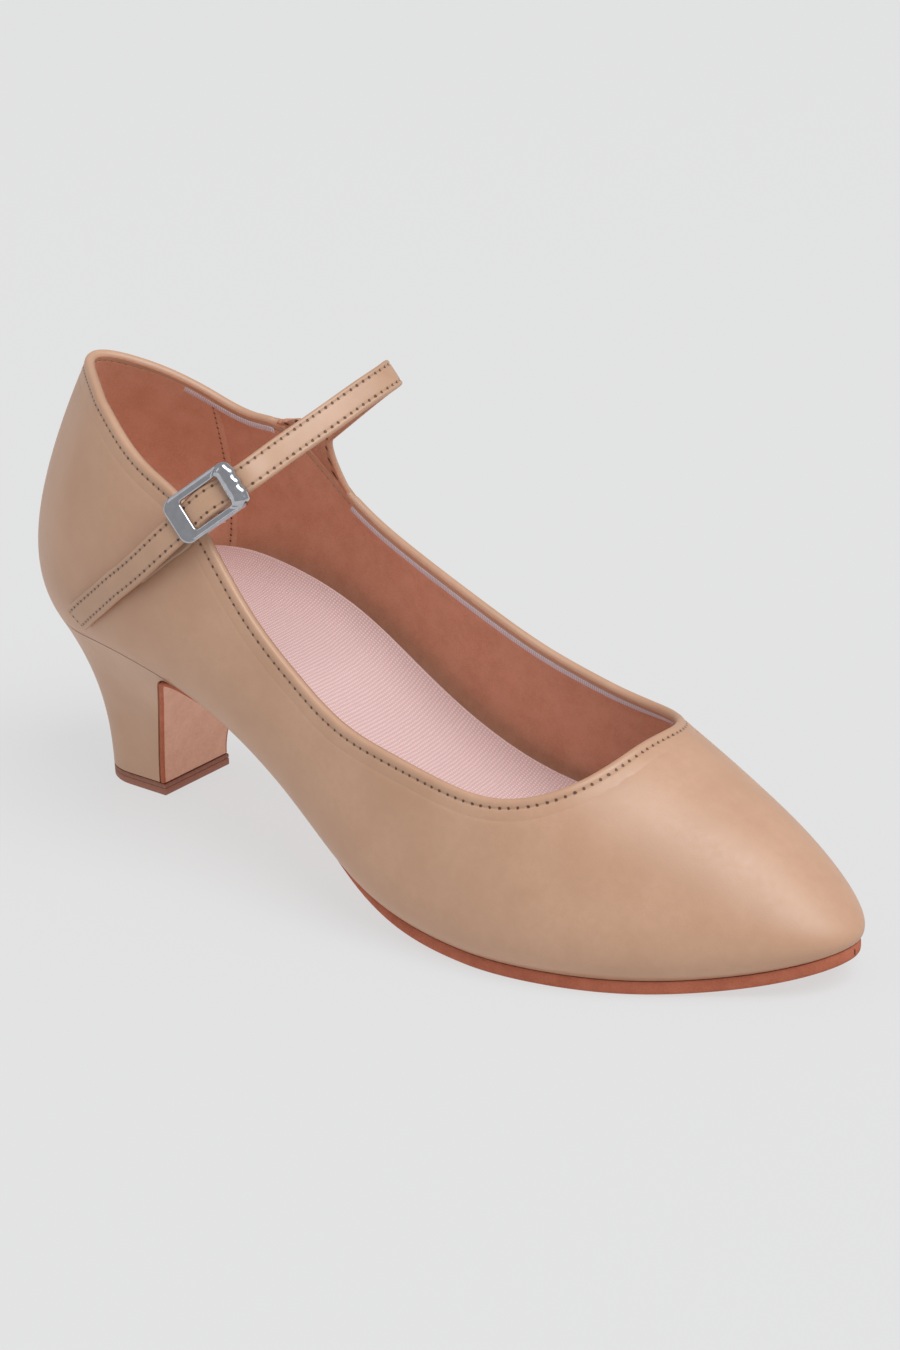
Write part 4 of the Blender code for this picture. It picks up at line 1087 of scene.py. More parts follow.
bottom[..., 2] = low[:, ::-1]
sock_grid = np.concatenate([high, bottom], axis=1)
sock_half = 0.5 * np.abs(sock_top[:, 0, 1] - sock_top[:, -1, 1])
share_left = 1.0 - np.abs(np.concatenate([sock_across, sock_across[::-1]]))
from_edge = share_left[None, :] * sock_half[:, None]
sock_uv = np.stack([sock_grid[..., 0], from_edge], axis=-1)
sock = make_piece("sock", sock_grid, tube_faces(*sock_grid.shape[:2]), [cloth], sock_uv)
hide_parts("sock_lining")

# %% [markdown]
# ## Insole board
# The board under the sock keeps its shape from the frame. Only its edge can be seen, so it takes a pale
# fibreboard finish.
# %% Insole board
board = suede_finish("insole_board", (0.42, 0.30, 0.20), (0.50, 0.37, 0.26), 0.8, roughness=0.85, sheen=0.0)
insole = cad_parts["insole"]
insole.data.materials.clear()
insole.data.materials.append(board)
print("insole board:", len(insole.data.polygons), "faces from the frame")

# %% [markdown]
# ## Outsole
# One strip of suede leather: full at the forefoot, thin and tucked in at the waist, and turned down the
# heel's front face as the breast flap. The flap is cut to the heel, so the block's shape comes first: each
# place on it lies between the seat above and the foot below, on a curve drawn in fast and then slowly.
# %% Shape of the heel block
BREAST_TOP = 58.0
BREAST_CORNER = 6.6
HEEL_BASE_WIDTH = 23.0
HEEL_BASE_ROUNDNESS = 2.2
TOP_LIFT_THICKNESS = 3.0
HEEL_BACK_CURVE = 3.0
HEEL_FRONT_CURVE = 1.8
HEEL_SIDE_CURVE = 2.0
SEAT_SEAM = 0.9
TIP_POWER = 12


def breast_line(depth):
    """x of the heel's front face at a depth from 0 at the seat to 1 at the top lift."""
    return BREAST_TOP + (BREAST_BOTTOM - BREAST_TOP) * (1.0 - (1.0 - depth) ** HEEL_FRONT_CURVE)


def heel_point(share, side, depth):
    """The heel block: share 0 is its back and 1 its front corner; depth 0 is its top and 1 its foot."""
    share, side, depth = np.broadcast_arrays(*(np.asarray(value, float) for value in (share, side, depth)))
    below = depth * (base_height(BREAST_TOP) - TOP_LIFT_THICKNESS)
    turn_down = np.sqrt(np.clip(below / BREAST_CORNER, 0.0, 1.0))
    top_x = BREAST_TOP * share + BREAST_CORNER * share ** TIP_POWER * (1.0 - turn_down) ** 2
    top_y = centre_line(top_x) + side * (half_width(top_x, side) - 0.5 * GAP)
    foot_x = BREAST_BOTTOM - HEEL_BASE_LENGTH * (1.0 - share)
    turn = np.clip(1.0 - share * BREAST_TOP / HEEL_ROUND, 0.0, 1.0)
    turn = (1.0 - turn ** HEEL_BASE_ROUNDNESS) ** (1.0 / HEEL_BASE_ROUNDNESS)
    foot_y = HEEL_BASE_CENTRE + side * 0.5 * HEEL_BASE_WIDTH * turn
    power = HEEL_BACK_CURVE + (HEEL_FRONT_CURVE - HEEL_BACK_CURVE) * share
    pull_x = 1.0 - (1.0 - depth) ** power
    pull_y = 1.0 - (1.0 - depth) ** HEEL_SIDE_CURVE
    top_z = base_height(top_x) - SEAT_SEAM * GAP
    foot_z = TOP_LIFT_THICKNESS + GAP
    x = top_x + (foot_x - top_x) * pull_x
    return np.stack([x, top_y + (foot_y - top_y) * pull_y, top_z + (foot_z - top_z) * depth], axis=-1)


print("front corner of the seat:", np.round(heel_point(1.0, -1.0, 0.0), 1))

# %% [markdown]
# ## The sole's path
# Seen from the side the sole is one line: along the last's lower edge from toe to heel, round a corner
# drawn as a quadratic curve of three points, and down the heel's front face.
# %% Path of the sole
corner_x = BREAST_TOP + GAP
corner_z = float(base_height(corner_x)) - GAP
start = corner_x + BREAST_CORNER
forward = stations(30, 60, 60, 50)[::-1]
forward = forward[forward > start + 0.5]
foot_z = TOP_LIFT_THICKNESS + GAP
fall = corner_z - foot_z
turn_depth = BREAST_CORNER / fall
t = np.linspace(0.0, 1.0, 13)[:, None]
turn_path = ((1.0 - t) ** 2 * np.array([start, float(base_height(start)) - GAP])
             + 2.0 * t * (1.0 - t) * np.array([corner_x, corner_z])
             + t * t * np.array([float(breast_line(turn_depth)) + GAP, corner_z - BREAST_CORNER]))
depths = np.linspace(turn_depth, 1.0, 26)[1:]
path = np.concatenate([np.stack([forward, base_height(forward) - GAP], axis=1), turn_path,
                       np.stack([breast_line(depths) + GAP, corner_z - fall * depths], axis=1)])
print("sole path:", len(path), "places")

# %% [markdown]
# ## Thickness and width of the sole
# The sole is skived: full under the forefoot, less than half as thick at the waist, thinnest where it has
# to bend round the corner. At the waist its edge is tucked in, so that it can't be seen from above.
# %% Thickness and edges of the sole
WAIST_THICKNESS = 1.7
FLAP_THICKNESS = 1.5
WAIST_TUCK = 2.4
CORNER_THINNING = 0.35
CORNER_REACH = 3.5
path_x, path_z = path[:, 0], path[:, 1]
heading = unit(np.gradient(path, axis=0))
full = smooth_step(path_x, 0.42 * FEATHER_LENGTH, 0.64 * FEATHER_LENGTH)
thickness = WAIST_THICKNESS + (SOLE_THICKNESS - WAIST_THICKNESS) * full
flap = smooth_step(path_x, BREAST_TOP, BREAST_TOP + 4.0 * BREAST_CORNER)
thickness = FLAP_THICKNESS + (thickness - FLAP_THICKNESS) * flap
bent = np.exp(-((path_x - corner_x) / CORNER_REACH) ** 2)
thickness = thickness * (0.8 - CORNER_THINNING * bent + 0.2 * full)
tuck = WAIST_TUCK * smooth_step(path_x, BREAST_TOP, 0.35 * FEATHER_LENGTH)
tuck = tuck * (1.0 - smooth_step(path_x, 0.42 * FEATHER_LENGTH, 0.60 * FEATHER_LENGTH))
flap_depth = np.clip((corner_z - path_z) / (corner_z - foot_z), 0.0, 1.0)
edges = []
for side in (-1.0, 1.0):
    on_sole = centre_line(path_x) + side * (half_width(path_x, side) - tuck)
    on_flap = heel_point(1.0, side, flap_depth)[:, 1]
    y = np.where(path_x > corner_x, on_sole, on_flap)
    edges.append(np.stack([path_x, y, path_z], axis=1))
print("sole thickness from", round(float(thickness.min()), 1), "to", round(float(thickness.max()), 1), "mm")

# %% [markdown]
# ## The sole's rubbed edge
# The maker sands the edge round. Its section is a small table: how far it stands out, and how deep it
# lies as a share of the thickness. The flat faces between the two edges close the strip.
# %% Section of the sole
EDGE_ROUND = (
    (-0.60, 0.0), (-0.25, 0.03), (-0.08, 0.14), (0.0, 0.35), (0.0, 0.65), (-0.10, 0.86), (-0.32, 0.97),
    (-0.70, 1.0),
)
FLAT_COLUMNS = 7
flat_share = smooth_step(path_x, 0.45 * FEATHER_LENGTH, 0.60 * FEATHER_LENGTH)
down_x = -heading[:, 1] * (1.0 - flat_share)
down_z = heading[:, 0] * (1.0 - flat_share) - flat_share
down = np.stack([down_x, np.zeros(len(down_x)), down_z], axis=1)
profiles = []
for edge, side in ((edges[1], 1.0), (edges[0], -1.0)):
    run = unit(np.gradient(edge, axis=0))
    out = -side * unit(np.cross(run, down))
    rows = [edge + stand * out + deep * thickness[:, None] * down for stand, deep in EDGE_ROUND]
    profiles.append(np.stack(rows, axis=1))
across = np.linspace(0.0, 1.0, FLAT_COLUMNS + 2)[None, 1:-1, None]
inner_profile, outer_profile = profiles
bottom = inner_profile[:, -1:] + (outer_profile[:, -1:] - inner_profile[:, -1:]) * across
top = outer_profile[:, :1] + (inner_profile[:, :1] - outer_profile[:, :1]) * across
strip = np.concatenate([inner_profile, bottom, outer_profile[:, ::-1], top], axis=1)
strip[..., 2] = np.maximum(strip[..., 2], 0.0)
print("sole strip:", strip.shape[0], "by", strip.shape[1], "points")

# %% [markdown]
# ## Two faces of the sole
# The forefoot is bare suede, dyed reddish brown, so that a dancer can slide. Under the waist and on the
# flap the leather is smooth and pale. One piece carries both finishes in two slots.
# %% Sole and flap
WAIST_END = 0.47
sole_reach = running_length(path)
sole_uv = np.stack(np.broadcast_arrays(sole_reach[:, None], np.arange(strip.shape[1]) * 1.0), axis=-1)
sole_suede = suede_finish("sole_suede", (0.390, 0.108, 0.058), (0.520, 0.165, 0.095), 0.4,
                          roughness=0.85, sheen=0.0, depth=0.0004)
flap_leather = suede_finish("flap_leather", (0.640, 0.350, 0.245), (0.740, 0.430, 0.310), 0.9,
                            roughness=0.6, sheen=0.05, depth=0.0001)
sole_faces = tube_faces(*strip.shape[:2])
sole_slots = np.zeros(len(sole_faces), np.int32)
row_of = np.repeat(np.arange(strip.shape[0] - 1), strip.shape[1])
column_of = np.tile(np.arange(strip.shape[1]), strip.shape[0] - 1)
under_face = (column_of >= len(EDGE_ROUND) - 1) & (column_of < len(EDGE_ROUND) + FLAT_COLUMNS)
sole_slots[:len(row_of)] = under_face & (path_x[row_of] < WAIST_END * FEATHER_LENGTH)
sole = make_piece("sole_leather", strip, sole_faces, [sole_suede, flap_leather], sole_uv, sole_slots)
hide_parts("outsole")

# %% [markdown]
# ## Heel
# The block is covered with the upper's leather. Its back and sides sweep in from the seat to the foot. Its
# shape is known already, so the piece is rings of it, with a fine bevel where the cover folds round.
# %% Heel cover
heel_rows = np.concatenate([np.linspace(0.0, 0.1, 8)[:-1], np.linspace(0.1, 1.0, 42)])
round_end = HEEL_ROUND / BREAST_TOP
share_half = np.concatenate([round_end * (1.0 - np.cos(np.linspace(0.0, QUARTER_TURN, 30))),
                             np.linspace(round_end, 1.0, 16)[1:]])
ring_share = np.concatenate([share_half[::-1], share_half[1:]])
ring_side = np.concatenate([-np.ones(len(share_half)), np.ones(len(share_half) - 1)])
block = heel_point(ring_share[None, :], ring_side[None, :], heel_rows[:, None])
heel_leather = leather_finish("heel_leather", TAN_DARK, TAN_LIGHT, 0.44)
heel = make_piece("heel_cover", block, tube_faces(*block.shape[:2]), [heel_leather])
soften = heel.modifiers.new("soften", "BEVEL")
soften.width = 0.4 * METRE
soften.segments = 3
soften.angle_limit = math.radians(50.0)
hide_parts("heel")

# %% [markdown]
# ## Top lift
# Two layers of leather under the heel take the wear. Their section is a table of how far it is drawn in
# and how high it lies, with a fine groove where the layers meet and a darker tone above it.
# %% Top lift in two layers
lift_material, lift_tree, lift_shader = new_finish("lift_leather", 0.6)
nap = use_group(lift_tree, nap_tree, Tuft_size=0.9)
height_split = add_node(lift_tree, "ShaderNodeSeparateXYZ")
lift_tree.links.new(in_millimetres(lift_tree), height_split.inputs[0])
layer = soft_range(lift_tree, height_split.outputs["Z"], 1.75, 1.95)
lift_colour = blend_colours(lift_tree, layer, (0.330, 0.120, 0.075), (0.260, 0.095, 0.060))
lift_colour = blend_colours(lift_tree, maths(lift_tree, "MULTIPLY", nap["Tone"], 0.4), lift_colour,
                            (0.450, 0.200, 0.130))
lift_tree.links.new(lift_colour, lift_shader.inputs["Base Color"])
add_bump(lift_tree, lift_shader, nap["Height"], 0.5, 0.0002)
LIFT_ROWS = (
    (0.6, 0.0), (0.15, 0.02), (0.0, 0.25), (0.0, 1.6), (0.06, 1.78), (0.28, 1.85), (0.06, 1.92), (0.0, 2.1),
    (0.0, 2.8), (0.12, 3.0), (0.8, 3.0),
)
foot = heel_point(ring_share, ring_side, 1.0)[:, :2]
front_x = BREAST_BOTTOM + GAP + FLAP_THICKNESS
foot = np.concatenate([[[front_x, foot[0, 1]]], foot, [[front_x, foot[-1, 1]]]])
middle = np.array([0.5 * (foot[:, 0].min() + front_x), HEEL_BASE_CENTRE])
size_xy = 0.5 * np.array([front_x - foot[:, 0].min(), HEEL_BASE_WIDTH])
layers = []
for inset, height in LIFT_ROWS:
    plan = middle + (foot - middle) * (1.0 - inset / size_xy)
    layers.append(np.concatenate([plan, np.full((len(foot), 1), height)], axis=1))
lift = make_piece("lift_layers", np.stack(layers), tube_faces(len(layers), len(foot)), [lift_material])
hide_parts("top_lift")

# %% [markdown]
# ## Strap
# The strap is cut in one with the inner quarter. It comes over the instep, through the buckle, and its
# tail lies on the outer quarter. Its middle runs through a few given places: shares of the
# throat's reach, the ball width and the ridge height, so that it stays on a last of another size.
# %% The strap's places
STRAP_WIDTH = 6.9
STRAP_THICKNESS = 1.8
TAB_THICKNESS = 1.0
TAB_CLEARANCE = 0.5
BUCKLE_LENGTH = 19.2
STRAP_BUCKLE_ROW = (0.437, -0.380, 0.743)
STRAP_ROWS = (
    (0.484, -0.165, 0.820),
    (0.497, 0.027, 0.857),
    (0.5056, 0.178, 0.885),
    (0.505, 0.288, 0.897),
    (0.491, 0.351, 0.891),
    (0.464, 0.364, 0.863),
    (0.419, 0.356, 0.810),
    (0.374, 0.337, 0.754),
)
TAIL_COLUMNS = ("share", "forward", "height", "stand_off")
TAIL_ROWS = (
    (0.00, 0.212, 0.066, 0.00),
    (0.20, 0.253, 0.117, 0.08),
    (0.40, 0.287, 0.164, 0.45),
    (0.60, 0.319, 0.208, 0.95),
    (0.80, 0.348, 0.254, 1.15),
    (1.00, 0.373, 0.296, 1.15),
)
BUCKLE_ALONG = (0.657, 0.501, 0.562)
BUCKLE_ACROSS = (0.653, 0.000, -0.757)
TAIL = column_curves(TAIL_COLUMNS, TAIL_ROWS, 1.0)
print("places over the instep:", len(STRAP_ROWS))

# %% [markdown]
# ## Standing on the quarter
# The tail and the anchor tab lie on the outer quarter, so their places are given along it and up it, and
# the wall's own frame says which way is out.
# %% Places on the wall


def wall_frame(x, side, height):
    """Point, outward normal and upward direction of the outer face at a height over its lower edge."""
    angle = float(np.arcsin(np.clip(height / ridge_height(x), 0.0, 1.0)))
    here = wall_point(x, side, angle)
    up = unit(wall_point(x, side, angle + 0.01) - here)
    ahead = wall_point(x + 1.0, side, angle) - here
    return here, unit(side * np.cross(up, ahead)), up


def strap_place(row):
    """A place of the table in millimetres."""
    forward, inward, up = row
    return np.array([forward * THROAT_REACH, inward * BALL_WIDTH, up * RIDGE_HEIGHT])


def tail_place(share, clear):
    """A point over the outer quarter, share 0 at the tail's end and 1 where it nears the buckle."""
    x = THROAT_REACH * float(TAIL["forward"](share))
    place, normal, up = wall_frame(x, -1.0, RIDGE_HEIGHT * float(TAIL["height"](share)))
    return place + clear * normal, normal


print("tail's end:", np.round(tail_place(0.0, GAP)[0], 1))

# %% [markdown]
# ## The strap's middle line
# Three stretches follow each other: the tail over the quarter and the tab, a low arch through the buckle's
# window, and the way over the instep. Small steps aside, given one by one, keep the line fair.
# %% Line from the tail to the instep
TAIL_PLACES = ((-0.09, -1.40), (0.08, -1.05), (0.25, -0.80), (0.42, -0.60), (0.60, -0.50))
WINDOW_PLACES = (
    (-0.47, 0.50, 0.0), (-0.36, 0.25, 0.05), (-0.12, -0.30, 0.95), (0.10, -0.35, 0.95), (0.34, -0.10, 0.05),
    (0.50, 0.0, 0.0),
)
along = unit(BUCKLE_ALONG)
outward = unit(np.cross(BUCKLE_ACROSS, along))
across = unit(np.cross(along, outward))
centre = strap_place(STRAP_BUCKLE_ROW)
line = []
width = []
for share, aside in TAIL_PLACES:
    over_tab = (TAB_THICKNESS + TAB_CLEARANCE) * float(TAIL["stand_off"](max(share, 0.0)))
    clear = GAP + 0.5 * STRAP_THICKNESS + over_tab
    point, normal = tail_place(share, clear)
    line.append(point + aside * across)
    width.append(across - (across @ normal) * normal)
for share, aside, rise in WINDOW_PLACES:
    line.append(centre + share * BUCKLE_LENGTH * along + aside * across + rise * outward)
    width.append(across)
for row in STRAP_ROWS:
    line.append(strap_place(row))
    width.append(across)
line = np.array(line)
width = unit(np.array(width))
print("strap line:", len(line), "places")

# %% [markdown]
# ## A band along a line
# Strap and tab are bands. A cubic curve through the places gives a band's middle, its slope the heading,
# and what is left of the way across, once its part along the heading is taken out, lies square to it.
# %% A band along a line


def band(line, width, at):
    """Middle, heading and direction across a band, at lengths along a line of places."""
    knots = running_length(line)
    middle = np.stack([spline(knots, line[:, k])(at) for k in range(3)], axis=1)
    heading = unit(np.gradient(middle, at, axis=0))
    aside = np.stack([np.interp(at, knots, width[:, k]) for k in range(3)], axis=1)
    aside = unit(aside - (aside * heading).sum(axis=1, keepdims=True) * heading)
    return middle, heading, aside


print("places of the strap measure", round(float(running_length(line)[-1]), 1), "mm")

# %% [markdown]
# ## The strap's sheet
# The line is divided into half millimetres, and at each place a direction lies across the strap. The
# section is a table: the way across and the height over the middle, with a groove for the seam. The tail's
# end is cut at a slant.
# %% Sheet along the line
TAIL_SLANT = 0.35
line_length = running_length(line)[-1]
at = np.concatenate([[0.0, 0.1, 0.25, 0.45, 0.7], np.arange(1.0, line_length, 0.5), [line_length]])
middle_line, heading, side_way = band(line, width, at)
STRAP_PROFILE = (
    (-3.45, 0.00), (-3.42, 0.35), (-3.30, 0.62), (-3.05, 0.84), (-2.75, 0.90), (-2.50, 0.86), (-2.34, 0.74),
    (-2.22, 0.70), (-2.10, 0.74), (-1.92, 0.84), (-1.60, 0.88), (-0.80, 0.90), (0.0, 0.90),
)
half_profile = np.array(STRAP_PROFILE)
mirror = half_profile[:-1][::-1] * np.array([-1.0, 1.0])
profile = np.concatenate([half_profile, mirror])
lane = profile[:, 0] / STRAP_WIDTH
slant = TAIL_SLANT * (1.0 - smooth_step(at, 0.0, 2.0 * STRAP_WIDTH))
lean = side_way + slant[:, None] * heading
sheet = middle_line[:, None] + STRAP_WIDTH * lane[None, :, None] * lean[:, None]
print("strap from tail to flare:", round(float(at[-1]), 1), "mm")

# %% [markdown]
# ## Where the strap meets the inner quarter
# The strap widens as it leaves the quarter. Every column ends on the quarter's edge and arrives there in
# the direction in which it leaves the wall, along a cubic curve with set slopes at both ends.
# %% The flare
FLARE_SUNK = 0.8
FLARE_PULL = 0.9
base_share = STRAP_FLARE_BACK + (STRAP_FLARE_FRONT - STRAP_FLARE_BACK) * (lane + 0.5)
edge_points = []
edge_leave = []
for share, place_across in zip(base_share, lane):
    x = share * THROAT_REACH
    edge_height = float(ridge_height(x) * np.sin(top_angle(x, 1.0)))
    point, normal, up = wall_frame(x, 1.0, edge_height)
    beside = leather(way_of(x + 1.0), top_angle(x + 1.0, 1.0)) - point
    inward = -np.sign(place_across) * unit(beside)
    sweep = (2.0 * abs(place_across)) ** 3
    edge_points.append(point - 0.5 * WALL * normal - FLARE_SUNK * up)
    edge_leave.append(unit(up * (1.0 - sweep) + inward * sweep))
edge_points = np.array(edge_points)
edge_leave = np.array(edge_leave)
pull = FLARE_PULL * np.linalg.norm(edge_points.mean(axis=0) - sheet[-1].mean(axis=0))
t = np.linspace(0.0, 1.0, 41)[1:, None, None]
join = ((2 * t ** 3 - 3 * t ** 2 + 1) * sheet[-1] + (t ** 3 - 2 * t ** 2 + t) * pull * heading[-1]
        + (3 * t ** 2 - 2 * t ** 3) * edge_points - (t ** 3 - t ** 2) * pull * edge_leave)
sheet = np.concatenate([sheet, join])
flare_middle = sheet[len(at) - 1:, len(half_profile) - 1]
length = np.concatenate([at, at[-1] + running_length(flare_middle)[1:]])
print("strap length:", round(float(length[-1]), 1), "mm")

# %% [markdown]
# ## The strap's body
# The upper and under faces stand off the sheet by the section's height. Both ends are rounded, and the
# seam lies 1.2 mm from the folded edges. The under face is unlined suede.
# %% The strap
STRAP_SEAM = 2.22
TAIL_SEAM = 1.6
UNDER_HEIGHT = 0.80
TAIL_ROUND = 0.7
ROOT_ROUND = 1.2
run = np.gradient(sheet, axis=0)
side_run = np.gradient(sheet, axis=1)
face_out = -unit(np.cross(run, side_run))
end_round = np.sqrt(1.0 - np.clip(1.0 - length / TAIL_ROUND, 0.0, 1.0) ** 2)
end_round = end_round * np.sqrt(1.0 - np.clip(1.0 - (length[-1] - length) / ROOT_ROUND, 0.0, 1.0) ** 2)
high = sheet + (profile[None, :, 1] * end_round[:, None])[..., None] * face_out
under = np.where(np.abs(profile[:, 0]) > 3.44, 0.0, np.minimum(profile[:, 1], UNDER_HEIGHT))
low = sheet - (under[None, :] * end_round[:, None])[..., None] * face_out
body = np.concatenate([high, low[:, ::-1]], axis=1)
way_across = np.concatenate([profile[:, 0], profile[::-1, 0]])
strap_uv = np.stack(np.broadcast_arrays(length[:, None], way_across), axis=-1)
columns = body.shape[1]
faces = tube_faces(body.shape[0], columns)
face_slots = np.zeros(len(faces), np.int32)
column_of = np.tile(np.arange(columns), body.shape[0] - 1)
face_slots[:len(column_of)] = column_of >= len(profile)
strap_leather = leather_finish("strap_leather", (0.500, 0.290, 0.180), (0.575, 0.345, 0.220), 0.46,
                               row=STRAP_SEAM, pitch=PITCH, both_sides=True, tail=TAIL_SEAM)
strap_back = suede_finish("strap_suede", (0.480, 0.220, 0.135), (0.590, 0.300, 0.195), 0.5,
                          row=STRAP_SEAM, pitch=PITCH, both_sides=True)
strap = make_piece("strap_leather", body, faces, [strap_leather, strap_back], strap_uv, face_slots)
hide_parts("strap")

# %% [markdown]
# ## Chrome
# The buckle is plated. A metal takes its colour from what it mirrors, so the finish is a plain grey with a
# low, slightly uneven roughness, and a faint relief bends the reflections as pressed metal does.
# %% Chrome finish
chrome, chrome_tree, chrome_shader = new_finish("buckle_chrome", 0.13, 1.0)
place = in_millimetres(chrome_tree)
haze = noise(chrome_tree, place, 0.6, 3.0)
chrome_colour = blend_colours(chrome_tree, haze, (0.43, 0.44, 0.47), (0.62, 0.63, 0.66))
chrome_tree.links.new(chrome_colour, chrome_shader.inputs["Base Color"])
wear = noise(chrome_tree, place, 2.0, 4.0)
chrome_tree.links.new(soft_range(chrome_tree, wear, 0.3, 0.8, 0.08, 0.24), chrome_shader.inputs["Roughness"])
add_bump(chrome_tree, chrome_shader, noise(chrome_tree, place, 1.2, 2.0), 0.08, 0.0002)
print("chrome:", len(chrome_tree.nodes), "nodes")

# %% [markdown]
# ## Outlines of the buckle
# The frame lies between two rounded rectangles, the rim and the window. Both have the same number of
# points, so that each point of one belongs to a point of the other. The upper end is scalloped.
# %% Rim and window
BUCKLE_CLEARANCE = 0.3
BUCKLE_RIM = 2.0
BUCKLE_PLATE = 4.2
BUCKLE_LIP = 3.8
OUTER_RADIUS = 2.6
WINDOW_RADIUS = 0.8
CORNER_STEPS = 9
SIDE_STEPS = 24
SCALLOP_DEPTH = 0.16
SCALLOP_PITCH = 2.6


def rounded_ring(start, end, half, radius, steps, straight):
    """Closed outline from start to end and half to each side, with round corners, evenly filled sides."""
    turn = np.linspace(0.0, QUARTER_TURN, steps)
    ring = []
    corners = ((end - radius, half - radius), (start + radius, half - radius),
               (start + radius, radius - half), (end - radius, radius - half))
    for quarter, (u, v) in enumerate(corners):
        angle = quarter * QUARTER_TURN + turn
        arc = np.stack([u + radius * np.cos(angle), v + radius * np.sin(angle)], axis=1)
        next_u, next_v = corners[(quarter + 1) % 4]
        next_angle = (quarter + 1) * QUARTER_TURN
        next_point = np.array([next_u, next_v])
        next_point += radius * np.array([math.cos(next_angle), math.sin(next_angle)])
        fill = np.linspace(0.0, 1.0, straight + 2)[1:-1, None]
        ring.append(arc)
        ring.append(arc[-1] + (next_point - arc[-1]) * fill)
    return np.concatenate(ring)


half_length = 0.5 * BUCKLE_LENGTH
window_half = 0.5 * STRAP_WIDTH + BUCKLE_CLEARANCE
window_end = half_length - 1.25 * BUCKLE_LIP
outer_ring = rounded_ring(-half_length, half_length, window_half + BUCKLE_RIM, OUTER_RADIUS,
                          CORNER_STEPS, SIDE_STEPS)
inner_ring = rounded_ring(BUCKLE_PLATE - half_length, window_end, window_half, WINDOW_RADIUS,
                          CORNER_STEPS, SIDE_STEPS)
at_top = smooth_step(outer_ring[:, 0], half_length - 2.2, half_length - 0.4)
wave = 1.0 - np.cos(outer_ring[:, 1] * 2.0 * math.pi / SCALLOP_PITCH)
outer_ring[:, 0] -= at_top * SCALLOP_DEPTH * wave
print("points round the buckle:", len(outer_ring))

# %% [markdown]
# ## The pressed frame
# The frame is pressed from sheet metal: a raised bead along the rim, a plain plate at its lower end and a
# domed lip at its upper end. Its section is a table of shares from rim to window, and heights.
# %% Buckle frame
BUCKLE_DOME = 1.5
BUCKLE_ROWS = (
    (0.08, 0.00), (0.02, 0.10), (0.00, 0.35), (0.00, 1.20), (0.03, 1.42), (0.10, 1.52), (0.18, 1.50),
    (0.25, 1.36), (0.34, 1.28), (0.50, 1.28), (0.66, 1.28), (0.78, 1.30), (0.88, 1.30), (0.95, 1.22),
    (1.00, 1.02), (1.00, 0.30), (0.97, 0.08), (0.90, 0.00), (0.50, 0.00),
)
between = 0.5 * (outer_ring + inner_ring)[:, 0]
lip = smooth_step(between, window_end, half_length - 0.7 * BUCKLE_LIP)
rings = []
for share, height in BUCKLE_ROWS:
    plan = outer_ring + (inner_ring - outer_ring) * share
    dome = BUCKLE_DOME * lip * math.sin(math.pi * share) ** 0.8 * (height > 0.9)
    level = 0.5 * STRAP_THICKNESS + GAP + height + dome
    rings.append(centre + plan[:, :1] * along + plan[:, 1:] * across + level[:, None] * outward)
rings.append(rings[0])
rings = np.stack(rings, axis=1)
rings = np.concatenate([rings, rings[:1]])
frame_faces = grid_faces(*rings.shape[:2])
buckle = make_piece("buckle_frame", rings, frame_faces, [chrome], sharp=60.0)
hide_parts("buckle")

# %% [markdown]
# ## Centre bar
# A round bar under the strap holds the buckle. It is bent down at both sides of the window, so it is a
# circle carried along a path of two quarter turns and a straight stretch.
# %% Centre bar
BUCKLE_BAR = 1.6
BUCKLE_THICKNESS = 1.5
BAR_OVERHANG = 0.75
BAR_BEND = 1.2
radius = 0.5 * BUCKLE_BAR
depth = -(0.5 * STRAP_THICKNESS + 2.0 * GAP + TAB_THICKNESS + radius)
bar_reach = window_half + BAR_OVERHANG
bar_top = 0.5 * STRAP_THICKNESS + GAP + 0.4 * BUCKLE_THICKNESS
bend = BAR_BEND * radius
corner = np.linspace(0.0, QUARTER_TURN, 9)[:, None]
left = np.array([[-bar_reach, bar_top]])
turn_across = -bar_reach + bend * (1.0 - np.cos(corner))
turn_down = depth + bend * (1.0 - np.sin(corner))
turn_points = np.concatenate([turn_across, turn_down], axis=1)
half_bar = np.concatenate([left, turn_points])
bar_path = np.concatenate([half_bar, half_bar[::-1] * np.array([-1.0, 1.0])])
bar_heading = unit(np.gradient(bar_path, axis=0))
round_turn = np.linspace(0.0, 2.0 * math.pi, 21)[:-1]
aside = radius * np.cos(round_turn)
bar_points = (centre + radius * np.sin(round_turn)[None, :, None] * along
              + (bar_path[:, :1] - aside * bar_heading[:, 1:])[..., None] * across
              + (bar_path[:, 1:] + aside * bar_heading[:, :1])[..., None] * outward)
bar = make_piece("buckle_bar", bar_points, tube_faces(*bar_points.shape[:2]), [chrome])

# %% [markdown]
# ## The anchor tab's line
# A short strip of leather is sewn to the outer quarter and looped round the bar. Its line starts under the
# tail, climbs the quarter and turns half way round the bar.
# %% Line of the anchor tab
TAB_SHARES = (0.66, 0.80, 0.94, 1.06, 1.16)
tab_line = []
tab_aside = []
for share in TAB_SHARES:
    point, normal = tail_place(share, TAB_CLEARANCE + 0.5 * TAB_THICKNESS)
    tab_line.append(point)
    tab_aside.append(across - (across @ normal) * normal)
turn_radius = radius + GAP + 0.5 * TAB_THICKNESS
for turn in np.linspace(QUARTER_TURN, -QUARTER_TURN, 9):
    forward = turn_radius * math.cos(turn)
    upward = depth + turn_radius * math.sin(turn)
    tab_line.append(centre + forward * along + upward * outward)
    tab_aside.append(across)
tab_line = np.array(tab_line)
tab_aside = np.array(tab_aside)
tab_length = running_length(tab_line)[-1]
